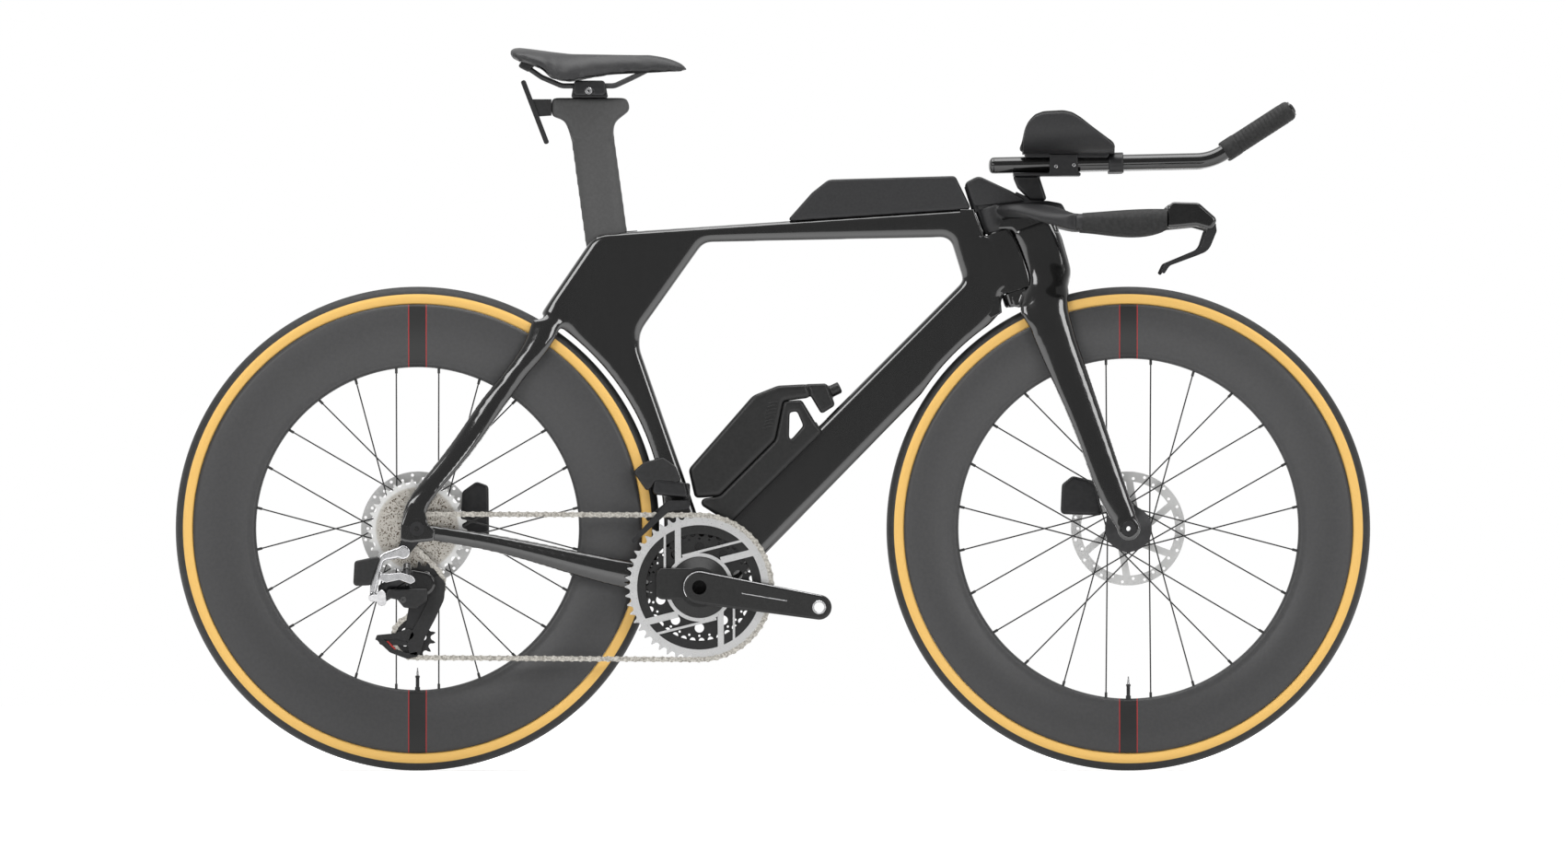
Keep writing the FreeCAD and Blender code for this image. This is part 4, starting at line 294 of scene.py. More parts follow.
# %% Floor
FLOOR_HALF = 9
SHADOW_GLOW = 0.46
CLEAR_BEHIND, CLEAR_BESIDE = (0.25, 1.2), (0.9, 1.6)
corners = [(x * FLOOR_HALF, y * FLOOR_HALF, 0) for x, y in ((-1, -1), (1, -1), (1, 1), (-1, 1))]
floor_mesh = bpy.data.meshes.new("studio_floor")
floor_mesh.from_pydata(corners, [], [(0, 1, 2, 3)])
floor = add_object("studio_floor", floor_mesh)
paper = finish("white_paper", grey(0.60), grey(0.64), (0.85, 0.95), scale=40.0)
tree, shader = opened(paper)
glow = make(tree, "LightPath").outputs
shader.inputs["Emission Color"].default_value = (1, 1, 1, 1)
away = use_group(tree, polar)
far = math_node(tree, "ABSOLUTE", away["Along"])
wide = math_node(tree, "ABSOLUTE", away["Across"])
open_floor = math_node(tree, "MAXIMUM", step_between(tree, far, *CLEAR_BEHIND),
                       step_between(tree, wide, *CLEAR_BESIDE))
lift = scale_to(tree, open_floor, SHADOW_GLOW, 1.0)
seen = math_node(tree, "MAXIMUM", glow["Is Glossy Ray"], glow["Is Transmission Ray"])
seen = math_node(tree, "MAXIMUM", glow["Is Camera Ray"], seen)
feed(tree, shader.inputs["Emission Strength"], math_node(tree, "MULTIPLY", seen, lift))
shader.inputs["Specular IOR Level"].default_value = 0.0
floor_mesh.materials.append(paper)
floor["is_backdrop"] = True
print("studio ready")

# %% [markdown]
# ### Finishes of the standard parts
# Anodised aluminium, plated steel, moulded nylon, rubber and lacquered carbon: each has two close
# tones and a fine grain in its roughness, as real batches do.

# %% Metals, plastics and rubber
BLACK_ALLOY = finish("black_alloy", grey(0.008, 0.001), grey(0.016, 0.001), (0.30, 0.42), metal=0.3)
SILVER = finish("polished_silver", grey(0.52, 0.01), grey(0.66, 0.01), (0.16, 0.26), metal=1.0)
CHAIN = finish("chain_plate", (0.24, 0.225, 0.20), (0.70, 0.675, 0.62), (0.26, 0.38),
               metal=1.0, scale=2000)
STEEL = finish("bearing_steel", grey(0.06), grey(0.10), (0.28, 0.36), metal=1.0)
SPOKES = finish("black_spoke", grey(0.008), grey(0.016), (0.32, 0.45), metal=0.2)
PLASTIC = finish("black_nylon", grey(0.010), grey(0.017, 0.001), (0.38, 0.50),
                 scale=1400, bump=0.15, shine=0.35)
GLOSS = finish("gloss_black", grey(0.004), grey(0.008), (0.10, 0.16), coat=0.5)
CRANK_BLACK = finish("crank_black", grey(0.007), grey(0.012), (0.26, 0.34), shine=0.4)
MATTE = finish("matte_carbon", grey(0.024, 0.001), grey(0.032, 0.001), (0.42, 0.52),
               scale=1600, bump=0.08, shine=0.35)
POST = finish("seatpost_carbon", grey(0.062), grey(0.074), (0.46, 0.56), scale=1600, bump=0.08, shine=0.3)
COVER = finish("soft_touch_cover", grey(0.013, 0.001), grey(0.019, 0.001), (0.44, 0.56),
               scale=1800, bump=0.12, shine=0.35)
FOAM = finish("pad_cloth", grey(0.008), grey(0.015), (0.70, 0.85), scale=2200, bump=0.35, shine=0.3)
HIDE = finish("saddle_cover", grey(0.016, 0.001), grey(0.024, 0.001), (0.40, 0.52),
              scale=2000, bump=0.2, shine=0.4)
GRIP = finish("grip_rubber", grey(0.012), grey(0.026), (0.60, 0.75),
              scale=1100, bump=0.6, depth=0.0006, shine=0.3)
BOTTLE = finish("bottle_black", grey(0.007), grey(0.012), (0.32, 0.42), scale=1200, bump=0.1, shine=0.35)
RED = finish("red_mark", (0.35, 0.010, 0.008), (0.45, 0.016, 0.012), (0.35, 0.45))
print(len(bpy.data.materials), "finishes so far")


# %% Lacquered carbon
def lacquer(name, dark, light):
    material = finish(name, dark, light, (0.10, 0.16), scale=500, coat=1.0)
    tree, shader = opened(material)
    fibre = use_group(tree, weave, Scale=420.0)
    paint(tree, shader, mix_colour(tree, fibre["Value"], dark, light))
    return material


FRAME_PAINT = lacquer("frame_lacquer", grey(0.004), grey(0.009))

# %% Looks: a finish with its slot, and with the body that carries it
ALLOY = (BLACK_ALLOY, "black_alloy")
BRIGHT = (SILVER, "silver_alloy")
NYLON = (PLASTIC, "black_plastic")
SHINY = (GLOSS, "black_gloss")
ON_FRAME = ("frame_body", FRAME_PAINT, "frame_gloss")
ON_FORK = ("steering_body", FRAME_PAINT, "frame_gloss")
ON_BAR = ("steering_body", COVER, "matte_carbon")
ON_CRANK = ("crankset", *BRIGHT)

# %% Turned and brushed rings
LINES_PER_METRE = 2600.0
STEEL_TONES = grey(0.46), grey(0.66, -0.01)


def brushed(name, centre, dark, light, rough):
    material = finish(name, dark, light, rough, metal=1.0, scale=600)
    tree, shader = opened(material)
    about = use_group(tree, polar, Centre=tuple(centre))
    place = math_node(tree, "MULTIPLY", about["Radius"], LINES_PER_METRE)
    lines = make(tree, "TexNoise", {"Scale": 1.0, "W": place}, noise_dimensions="1D").outputs["Fac"]
    paint(tree, shader, mix_colour(tree, lines, dark, light))
    add_bump(tree, shader, lines, strength=0.12, distance=0.0001)
    return material


ROTOR_REAR = brushed("rotor_rear_steel", REAR_AXLE, *STEEL_TONES, (0.28, 0.38))
ROTOR_FRONT = brushed("rotor_front_steel", FRONT_AXLE, *STEEL_TONES, (0.28, 0.38))

# %% Cogs: bright plated faces, with painted shade as dark brown spots in the gaps between the teeth
INNER_COGS = (0.058, 0.052)
LARGE_COG = (0.056, 0.060)
GAP_EDGE = (0.54, 0.62)


def cog_finish(name, centre):
    material = brushed(name, centre, (0.40, 0.375, 0.33), (0.68, 0.655, 0.61), (0.26, 0.40))
    tree, shader = opened(material)
    plate = painted(shader)
    about = use_group(tree, polar, Centre=tuple(centre))
    here = make(tree, "TexCoord").outputs["Object"]
    # The dark brown spots on the smaller cogs are painted shade in the gaps between the teeth.
    spots = make(tree, "TexNoise", {"Vector": here, "Scale": 420.0, "Detail": 2.0})
    painted_gap_shade = step_between(tree, spots.outputs["Fac"], *GAP_EDGE)
    inner = step_between(tree, about["Radius"], *INNER_COGS)
    large = step_between(tree, about["Radius"], *LARGE_COG)
    plate = mix_colour(tree, large, plate, grey(0.74, -0.01))
    gap_shade = math_node(tree, "MULTIPLY", painted_gap_shade, inner)
    paint(tree, shader, mix_colour(tree, gap_shade, plate, (0.10, 0.075, 0.05)))
    return material


COGS = cog_finish("cog_steel", REAR_AXLE)
RING = brushed("ring_alloy", CRANK, grey(0.46), grey(0.66), (0.26, 0.36))
print(len(bpy.data.materials), "finishes so far")

# %% [markdown]
# ### Helpers for shapes
# Rings are turned from a profile. Moulded pieces take the model's surfaces, draw them over one even
# grid and let them flow, as lay-up in a mould rounds every inner corner.

# %% Mesh helpers
def dress(obj, body, material, slot_name, *nodes, smooth=True):
    obj.data.materials.clear()
    obj.data.materials.append(material)
    if smooth:
        obj.data.shade_smooth()
    if nodes:
        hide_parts(*nodes)
    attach(obj, body)
    print(obj.name, "on", body, len(obj.data.polygons), "faces")
    return obj


def from_bmesh(name, bm):
    mesh = bpy.data.meshes.new(name)
    bm.normal_update()
    bm.to_mesh(mesh)
    bm.free()
    return add_object(name, mesh)


def from_faces(name, bm):
    bmesh.ops.recalc_face_normals(bm, faces=bm.faces)
    return from_bmesh(name, bm)


def apply_modifiers(obj):
    bpy.context.view_layer.update()
    graph = bpy.context.evaluated_depsgraph_get()
    mesh = bpy.data.meshes.new_from_object(obj.evaluated_get(graph))
    obj.modifiers.clear()
    obj.data = mesh
    return obj


def arc_through(a, b, c, count):
    ax, ay, bx, by, cx, cy = *a, *b, *c
    d = 2 * (ax * (by - cy) + bx * (cy - ay) + cx * (ay - by))
    aa, bb, cc = ax**2 + ay**2, bx**2 + by**2, cx**2 + cy**2
    ux = (aa * (by - cy) + bb * (cy - ay) + cc * (ay - by)) / d
    uy = (aa * (cx - bx) + bb * (ax - cx) + cc * (bx - ax)) / d
    radius = math.hypot(ax - ux, ay - uy)
    first, middle, last = (math.atan2(y - uy, x - ux) for x, y in (a, b, c))
    turn = (last - first) % (2 * math.pi)
    if (middle - first) % (2 * math.pi) > turn:
        turn -= 2 * math.pi
    angles = [first + turn * k / count for k in range(count + 1)]
    return [(ux + radius * math.cos(angle), uy + radius * math.sin(angle)) for angle in angles]


def turn_ring(name, profile, centre, steps=240):
    bm = bmesh.new()
    rings = []
    for k in range(steps):
        angle = 2 * math.pi * k / steps
        rings.append([bm.verts.new((centre.x + r * MM * math.cos(angle), centre.y + y * MM,
                                    centre.z + r * MM * math.sin(angle))) for y, r in profile])
    for k in range(steps):
        a, b = rings[k], rings[(k + 1) % steps]
        for i in range(len(profile)):
            j = (i + 1) % len(profile)
            bm.faces.new((a[i], a[j], b[j], b[i]))
    return from_faces(name, bm)


def even_out(obj, grid, rounds):
    even = obj.modifiers.new("even_grid", "REMESH")
    even.mode = "VOXEL"
    even.voxel_size = grid
    relax = obj.modifiers.new("relax", "SMOOTH")
    relax.factor = 0.5
    relax.iterations = rounds
    return apply_modifiers(obj)


def flow(name, nodes, *forms, grid, rounds):
    bm = bmesh.new()
    for node in nodes:
        bm.from_mesh(NODES[node].data)
    for form in forms:
        bm.from_mesh(form.data)
        bpy.data.objects.remove(form)
    bmesh.ops.remove_doubles(bm, verts=bm.verts, dist=1e-6)
    return even_out(from_bmesh(name, bm), grid, rounds)


def melt(obj, weight_at, rounds):
    area = obj.vertex_groups.new(name="soft_area")
    for v in obj.data.vertices:
        area.add([v.index], weight_at(v.co / MM), "REPLACE")
    relax = obj.modifiers.new("melt", "SMOOTH")
    relax.factor = 0.6
    relax.iterations = rounds
    relax.vertex_group = "soft_area"
    apply_modifiers(obj)
    obj.vertex_groups.clear()
    return obj


def skin(bm, loops):
    count = len(loops[0])
    for a, b in zip(loops, loops[1:]):
        for k in range(count):
            bm.faces.new((a[k], a[(k + 1) % count], b[(k + 1) % count], b[k]))
    bm.faces.new(loops[0])
    bm.faces.new(loops[-1])


def lofted(name, sections):
    bm = bmesh.new()
    skin(bm, [[bm.verts.new(point) for point in section] for section in sections])
    return from_faces(name, bm)


def turned(name, rods, steps=48):
    bm = bmesh.new()
    angles = [2 * math.pi * k / steps for k in range(steps)]
    for start, way, profile in rods:
        way = Vector(way).normalized()
        side = way.cross(Vector((0, 1, 0))).normalized()
        other = way.cross(side)
        rings = []
        for along, radius in profile:
            middle = Vector(start) + way * along
            spokes = [(side * math.cos(angle) + other * math.sin(angle)) * radius for angle in angles]
            rings.append([bm.verts.new((middle + spoke) * MM) for spoke in spokes])
        skin(bm, rings)
    return from_faces(name, bm)


# %% Number helpers
def ramp(x, start, end):
    return max(0.0, min(1.0, (x - start) / (end - start)))


def within(x, low, high, fade):
    return min(ramp(x, low, low + fade), ramp(x, high, high - fade))


def bow(value, power):
    return math.copysign(abs(value) ** power, value)


def between(table, x):
    for (x0, v0), (x1, v1) in zip(table, table[1:]):
        if x <= x1:
            t = max(0.0, (x - x0) / (x1 - x0))
            return v0 + (v1 - v0) * t
    return table[-1][1]


# %% Side outlines, tubes and rings
def rounded(corners, steps=6):
    points = []
    for k, (x, z, radius) in enumerate(corners):
        here = Vector((x, z))
        before = Vector(corners[k - 1][:2]) - here
        after = Vector(corners[(k + 1) % len(corners)][:2]) - here
        opening = before.angle(after)
        reach = min(radius / math.tan(opening / 2), 0.45 * before.length, 0.45 * after.length)
        start, end = here + before.normalized() * reach, here + after.normalized() * reach
        for n in range(steps + 1):
            t = n / steps
            points.append((1 - t) ** 2 * start + 2 * t * (1 - t) * here + t * t * end)
    return points


def draw_line(curve, points):
    spline = curve.splines.new("POLY")
    spline.points.add(len(points) - 1)
    for slot_point, point in zip(spline.points, points):
        slot_point.co = (*(c * MM for c in point), 1.0)
    return spline


def curve_to_mesh(name, curve, place):
    holder = add_object(name, curve)
    graph = bpy.context.evaluated_depsgraph_get()
    mesh = bpy.data.meshes.new_from_object(holder.evaluated_get(graph))
    bpy.data.objects.remove(holder)
    mesh.transform(place)
    return add_object(name, mesh)


def moulded(name, corners, y, half, edge):
    curve = bpy.data.curves.new(name, "CURVE")
    curve.dimensions = "2D"
    curve.fill_mode = "BOTH"
    curve.extrude = (half - edge) * MM
    curve.bevel_depth = edge * MM
    curve.bevel_resolution = 3
    curve.offset = -edge * MM
    draw_line(curve, [(*point, 0.0) for point in rounded(corners)]).use_cyclic_u = True
    upright = Matrix.Rotation(math.pi / 2, 4, "X")
    return curve_to_mesh(name, curve, Matrix.Translation((0, y * MM, 0)) @ upright)


def mould(name, corners, *look, half, edge, y=0.0):
    return dress(moulded(name, corners, y, half, edge), *look, smooth=False)


def mould_pair(name, corners, *look, y, half, edge):
    both = bmesh.new()
    for side in (-1, 1):
        one = moulded(name + "_side", corners, side * y, half, edge)
        both.from_mesh(one.data)
        bpy.data.objects.remove(one)
    return dress(from_bmesh(name, both), *look, smooth=False)


def tube(name, points, radius):
    curve = bpy.data.curves.new(name, "CURVE")
    curve.dimensions = "3D"
    curve.bevel_depth = radius * MM
    curve.bevel_resolution = 4
    curve.use_fill_caps = True
    draw_line(curve, points)
    return curve_to_mesh(name, curve, Matrix.Identity(4))


def ring(name, centre, y_low, y_high, r_in, r_out):
    bevel = min(0.4, (y_high - y_low) / 4, (r_out - r_in) / 4)
    profile = [(y_low, r_in + bevel), (y_low, r_out - bevel),
               (y_low + bevel, r_out), (y_high - bevel, r_out),
               (y_high, r_out - bevel), (y_high, r_in + bevel),
               (y_high - bevel, r_in), (y_low + bevel, r_in)]
    return turn_ring(name, profile, Vector((centre[0], 0, centre[2])), 96)


def fatten(obj, depth):
    push = [v.normal * depth for v in obj.data.vertices]
    for v, move in zip(obj.data.vertices, push):
        v.co = v.co + move
    return obj


# %% [markdown]
# ### Tyres
# A cotton casing in natural tan carries a black rubber tread. The band edges follow the radius about
# each axle, and the tread has a fine file pattern.

# %% Tyre finish and rings
TYRE_RADIUS = 339.0
TAN_OUTER = 328.5
FILE_LINES = 1400.0


def tyre_finish(name, centre):
    material = finish(name, grey(0.010), grey(0.018), (0.50, 0.65), scale=900)
    tree, shader = opened(material)
    about = use_group(tree, polar, Centre=tuple(centre))
    rubber = painted(shader)
    threads = make(tree, "TexNoise", {"Scale": 700.0})
    tan = mix_colour(tree, threads.outputs["Fac"], (0.78, 0.46, 0.11), (0.92, 0.58, 0.17))
    band = step_between(tree, about["Radius"], (TAN_OUTER - 0.4) * MM, (TAN_OUTER + 0.4) * MM)
    paint(tree, shader, mix_colour(tree, band, tan, rubber))
    file_lines = math_node(tree, "SINE", math_node(tree, "MULTIPLY", about["Angle"], FILE_LINES))
    tread = math_node(tree, "MULTIPLY", file_lines, band)
    add_bump(tree, shader, tread, strength=0.25, distance=0.0003)
    return material


half = arc_through((13.6, 321.0), (9.0, 335.4), (0.0, TYRE_RADIUS), 14)
right_side = [(11.4, 314.4), (12.9, 317.5)] + half
tyre_profile = right_side + [(-y, r) for y, r in reversed(right_side[:-1])]
tyre_profile += [(-9.0, 315.5), (0.0, 331.0), (9.0, 315.5)]
for label, centre in AXLES.items():
    tyre = turn_ring(label + "_tyre_ring", tyre_profile, centre)
    rubber = tyre_finish(label + "_tyre_rubber", centre)
    dress(tyre, label + "_wheel", rubber, "tyre", label + "_tyre")

# %% [markdown]
# ### Rims
# Deep carbon rims, moulded hollow and left matte. A dark panel with two thin red lines crosses the rim
# at the top and at the valve.

# %% Rim finish and rings
RIM_SEAT = 314.0
RIM_DEPTH = {"rear": 88.0, "front": 76.0}
PANEL_HALF = 12.3
LINE_WIDE = 0.55


def rim_finish(name, centre):
    material = finish(name, grey(0.034, 0.001), grey(0.042, 0.001), (0.40, 0.48),
                      scale=1300, bump=0.05)
    tree, shader = opened(material)
    about = use_group(tree, polar, Centre=tuple(centre))
    plain = painted(shader)
    across = math_node(tree, "ABSOLUTE", about["Across"])
    inside = step_between(tree, across, (PANEL_HALF + 0.3) * MM, (PANEL_HALF - 0.3) * MM)
    line_at = math_node(tree, "ABSOLUTE", math_node(tree, "SUBTRACT", across, PANEL_HALF * MM))
    line = step_between(tree, line_at, (LINE_WIDE + 0.3) * MM, (LINE_WIDE - 0.3) * MM)
    panel = mix_colour(tree, inside, plain, grey(0.002))
    paint(tree, shader, mix_colour(tree, line, panel, (0.42, 0.012, 0.014)))
    return material


def rim_profile(depth):
    nose = RIM_SEAT - depth
    side = arc_through((12.9, RIM_SEAT), (14.9, RIM_SEAT - 0.38 * depth), (6.5, nose + 9.0), 14)
    tip = arc_through((6.5, nose + 9.0), (0.0, nose), (-6.5, nose + 9.0), 10)
    other = [(-y, r) for y, r in reversed(side)]
    well = [(-11.6, 314.3), (-8.6, 308.0), (8.6, 308.0), (11.6, 314.3)]
    return side + tip[1:-1] + other + well


for label, centre in AXLES.items():
    rim = turn_ring(label + "_rim_ring", rim_profile(RIM_DEPTH[label]), centre)
    carbon = rim_finish(label + "_rim_carbon", centre)
    dress(rim, label + "_wheel", carbon, "rim", label + "_rim")

# %% [markdown]
# ### Valves
# A black threaded stem stands inside each rim, with a knurled nut and a small bright core.

# %% Valve stems
STEM_TOP = 26.0
STEM = ((-4, 4, 3.6), (4, STEM_TOP - 9, 2.6), (STEM_TOP - 9, STEM_TOP - 6, 3.2))
CORE = ((STEM_TOP - 6, STEM_TOP, 2.0), (STEM_TOP, STEM_TOP + 5, 1.2))


def stacked(name, centre, foot, rods, segments, taper):
    bm = bmesh.new()
    for low, high, radius in rods:
        middle = (foot - (low + high) / 2) * MM
        bmesh.ops.create_cone(bm, cap_ends=True, segments=segments, depth=(high - low) * MM,
                              radius1=radius * MM, radius2=radius * taper * MM,
                              matrix=Matrix.Translation((centre.x, centre.y, centre.z - middle)))
    return from_bmesh(name, bm)


for label, centre in AXLES.items():
    foot = RIM_SEAT - RIM_DEPTH[label]
    stem = stacked(label + "_valve_stem", centre, foot, STEM, 24, 1.0)
    dress(stem, label + "_wheel", *ALLOY, smooth=False)
    core = stacked(label + "_valve_core", centre, foot, CORE, 20, 0.7)
    dress(core, label + "_wheel", *BRIGHT, smooth=False)

# %% [markdown]
# ### Frame and fork
# Frame tubes and stays are laid up as one carbon shell, so the stays run into the seat tube with soft
# corners. The fork is a second shell. Both are lacquered gloss black.

# %% Frame shell
CORNER_FADE = 30.0
shell = flow("frame_shell", ["frame", "seatstays", "chainstays"], grid=0.0026, rounds=14)


def stay_corner(at):
    return min(within(at.x, -420.0, -270.0, CORNER_FADE), within(at.z, 520.0, 660.0, CORNER_FADE))


melt(shell, stay_corner, rounds=50)
dress(shell, *ON_FRAME, "frame", "seatstays", "chainstays")

# %% [markdown]
# ### Head of the frame and crown of the fork
# The frame's flat side runs on round the head bearings and stops at a thin seam, and the nose of the
# fork wraps round that drum. Both are drawn in the steering axis' own directions: along it, ahead of it
# and across. A drum turned about the axis lets the fork steer with the same small gap at every angle.

# %% Directions of the steering axis
HEAD = Vector((340.66, 0, 672.07))
UP = Vector((-0.3007, 0, 0.9537))
AHEAD = Vector((0.9537, 0, 0.3007))


def head_place(along, ahead, across):
    return (HEAD + UP * along + AHEAD * ahead + Vector((0, across, 0))) * MM


def head_measure(place):
    at = place / MM - HEAD
    return at.dot(UP), at.dot(AHEAD), at.y


def keep_narrow(vertex, half):
    vertex.co.y = max(-half * MM, min(half * MM, vertex.co.y))


# %% Drum, chin and tab of the head tube, and the race on the fork
DRUM = [(1, 26.2), (5, 27.7), (17, 29.2), (40, 28.4), (63, 26.9), (75, 24.8), (86, 21.6)]
DRUM_LOW, DRUM_HIGH, DRUM_CORE = -4, 90, 22
FLAT_SIDE, UNDER_SIDE = 18.05, 17.8
TUCK_FROM, TUCK = -10.0, 0.06
CHIN = [(286, 652, 4), (298, 668, 4), (319, 664.8, 1.2), (320.8, 641.5, 1.2), (305, 631.5, 3)]
TAB = [(262, 748, 2), (296, 748, 1), (294, 753.8, 1), (288.9, 765.8, 4), (284.3, 778, 3),
       (281.8, 786.2, 1.2), (262, 786.6, 1)]
RACE = [(0.3, 19.0), (0.5, 21.0), (1.3, 21.8), (16.0, 21.8), (19.0, 20.5), (20.5, 17.0)]
for v in shell.data.vertices:
    along, ahead, across = head_measure(v.co)
    if DRUM_LOW < along < DRUM_HIGH and math.hypot(ahead, across) < DRUM_CORE:
        keep_narrow(v, UNDER_SIDE)
drum = turned("head_drum", [(HEAD, UP, DRUM)], 96)
for v in drum.data.vertices:
    behind = max(0.0, TUCK_FROM - head_measure(v.co)[1])
    keep_narrow(v, FLAT_SIDE - behind * TUCK)
dress(drum, *ON_FRAME, smooth=False)
mould("head_chin", CHIN, *ON_FRAME, half=17.8, edge=2.5)
mould("head_tab", TAB, *ON_FRAME, half=17.6, edge=1.5)
crown = turned("crown_race", [(HEAD, -UP, RACE)], 96)
for v in crown.data.vertices:
    keep_narrow(v, FLAT_SIDE)
dress(crown, *ON_FORK, smooth=False)

# %% [markdown]
# ### Fork
# Full cheeks join the blades to the nose. Each cheek is a stack of rounded sections, given by its place
# along the axis, its rear and front edge, and its inner and outer side. The fork's own surface and the
# cheeks are drawn over one grid, and the points that reach the drum or the tyre are pushed clear.

# %% Cheeks of the fork
CHEEK = [(62, 20.0, 60.0, -3, 17.0), (44, 22.0, 64.0, -3, 18.0), (30, 23.0, 69.0, -3, 19.0),
         (16, 23.0, 74.0, -3, 20.6), (4, 19.5, 77.0, -3, 22.8), (-7, 9.0, 75.0, -3, 25.3),
         (-16, 2.5, 71.0, -3, 28.0), (-24, -1.0, 67.0, 18, 30.2), (-34, -2.4, 63.0, 20, 32.4),
         (-46, 0.4, 58.5, 20.5, 34.4), (-60, 4.5, 56.0, 21, 35.2), (-74, 9.0, 52.0, 23, 33.5)]
CHEEK_STEPS = 40
REAR_SQUARE, FRONT_SQUARE = 0.5, 0.8


def cheek(side):
    sections = []
    for along, rear, front, inner, outer in CHEEK:
        points = []
        for k in range(CHEEK_STEPS):
            turn = 2 * math.pi * k / CHEEK_STEPS
            square = FRONT_SQUARE if math.cos(turn) > 0 else REAR_SQUARE
            ahead = (rear + front) / 2 + bow(math.cos(turn), square) * (front - rear) / 2
            across = (inner + outer) / 2 + bow(math.sin(turn), square) * (outer - inner) / 2
            points.append(head_place(along, ahead, side * across))
        sections.append(points)
    return lofted("cheek_%d" % side, sections)


def crown_weight(at):
    along, ahead = (at - HEAD).dot(UP), (at - HEAD).dot(AHEAD)
    return min(ramp(along, -70.0, -45.0), ramp(along, 70.0, 50.0), ramp(ahead, 6.0, 26.0))


legs = flow("fork_shell", ["fork"], cheek(-1), cheek(1), grid=0.0020, rounds=8)
fatten(melt(legs, crown_weight, rounds=70), depth=0.0006)

# %% Room for the drum and the tyre
STEER_GAP, STEERER = 0.9, 16.0
NECK_LOW, NECK_HIGH = 0.2, 92
DRUM_TABLE = DRUM + [(NECK_HIGH, 19.0)]
CROWN_UNDER = [(-22, -18), (-9, -20.5), (-4, -23), (-2.7, -25), (0, -34)]
UNDER_DEEP, UNDER_REAR, UNDER_HALF = -45, -23, 24
moved = 0
for v in legs.data.vertices:
    along, ahead, across = head_measure(v.co)
    reach = between(DRUM_TABLE, along) + STEER_GAP
    by_drum = NECK_LOW < along < NECK_HIGH and ahead > 0 and abs(across) < reach
    under_crown = UNDER_DEEP < along < 0 and UNDER_REAR < ahead < 0 and abs(across) < UNDER_HALF
    if by_drum and STEERER < math.hypot(ahead, across) < reach:
        v.co = head_place(along, math.sqrt(reach ** 2 - across ** 2), across)
        moved += 1
    elif under_crown and along < between(CROWN_UNDER, ahead):
        v.co = head_place(between(CROWN_UNDER, ahead), ahead, across)
print("fork points moved clear of the drum:", moved)
dress(legs, *ON_FORK, "fork")
NOSE = [(308, 757, 3), (334, 757, 4), (350, 738, 4), (402, 752, 6), (396, 773, 6), (364, 779, 6),
        (330, 778, 4), (304, 768, 3)]
mould("nose_fairing", NOSE, *ON_FORK, half=17.5, edge=5)

# %% [markdown]
# ### Gusset over the right dropout
# Seatstay and chainstay meet outside the cassette in one flat plate. Its upper end leans inward with the
# seatstay, so that it runs out in the stay's own side.

# %% Dropout gusset
GUSSET = [(-462, 404, 8), (-490, 404, 8), (-514, 364.5, 24), (-520.5, 345, 12), (-521, 321, 5),
          (-507, 318.5, 6), (-488, 320.5, 8), (-474, 322, 4), (-472, 337, 4), (-482, 345, 10),
          (-486.5, 364, 14), (-478, 383, 10)]
GUSSET_LEAN = [(345, 0.0), (352, 1.0), (366, 4.6), (380, 8.6), (395, 13.0), (406, 17.0)]
gusset = moulded("dropout_gusset", GUSSET, y=-83.0, half=3.2, edge=2.4)
even_out(gusset, grid=0.0011, rounds=5)
for v in gusset.data.vertices:
    v.co.y += between(GUSSET_LEAN, v.co.z / MM) * MM
dress(gusset, *ON_FRAME)

# %% [markdown]
# ### Seatpost, bar and covers
# The same lay-up, left matte. The storage box and the cover behind the bar are moulded nylon.

# %% Shells of post, bar, cover and box
SHELLS = (
    ("seatpost", 0.0022, 30, 0.0, "seat_body", POST, "matte_carbon"),
    ("base_bar", 0.0017, 12, 0.0006, "steering_body", COVER, "matte_carbon"),
    ("stem_cover", 0.0015, 5, 0.0007, "steering_body", COVER, "matte_carbon"),
    ("storage_box", 0.0020, 5, 0.0006, "frame_body", COVER, "black_plastic"),
)
for node, grid, rounds, grow, body, material, slot_name in SHELLS:
    form = fatten(flow(node + "_shell", [node], grid=grid, rounds=rounds), grow)
    dress(form, body, material, slot_name, node)

# %% Shield behind the steerer
SHIELD = ((88, 18.9), (97, 19.9), (105, 20.5), (116, 20.9), (121, 21.0), (123, 25.6), (160, 25.6),
          (161, 23.0))
SHIELD_TURN, SHIELD_STEPS = 36, 16
SHIELD_ROOT = ((-10, -8), (-10, 8))


def shield_section(along, radius):
    points = []
    for k in range(SHIELD_STEPS + 1):
        turn = math.radians(180 - SHIELD_TURN + 2 * SHIELD_TURN * k / SHIELD_STEPS)
        points.append(head_place(along, radius * math.cos(turn), radius * math.sin(turn)))
    return points + [head_place(along, *root) for root in SHIELD_ROOT]


shield = lofted("steerer_shield", [shield_section(*row) for row in SHIELD])
dress(shield, *ON_BAR, smooth=False)

# %% Spacer, cup brackets and wedge
SPACER = [(288, 785, 1), (330, 789, 2), (376, 795, 2), (376, 801.5, 1), (356, 804, 2), (341, 811, 1),
          (332, 799, 2), (286, 793, 1)]
BRACKET = [(354, 858, 2), (468, 858, 2), (474, 868, 3), (352, 868, 3)]
WEDGE = [(-207, 750, 1), (-190, 751.2, 1), (-190, 756.8, 1), (-207, 755.6, 1)]
mould("stem_spacer", SPACER, *ON_BAR, half=13, edge=1.5)
mould_pair("cup_brackets", BRACKET, "steering_body", *ALLOY, y=66.0, half=10, edge=1.5)
mould("post_wedge_cover", WEDGE, "frame_body", *ALLOY, "seatpost_wedge", half=6, edge=0.8)

# %% [markdown]
# ### Small mouldings and forgings
# Brake calipers, derailleur housings, lever bodies and clamps come out of moulds and dies with soft
# corners. Each takes the measured surface and lets its edges flow a little.

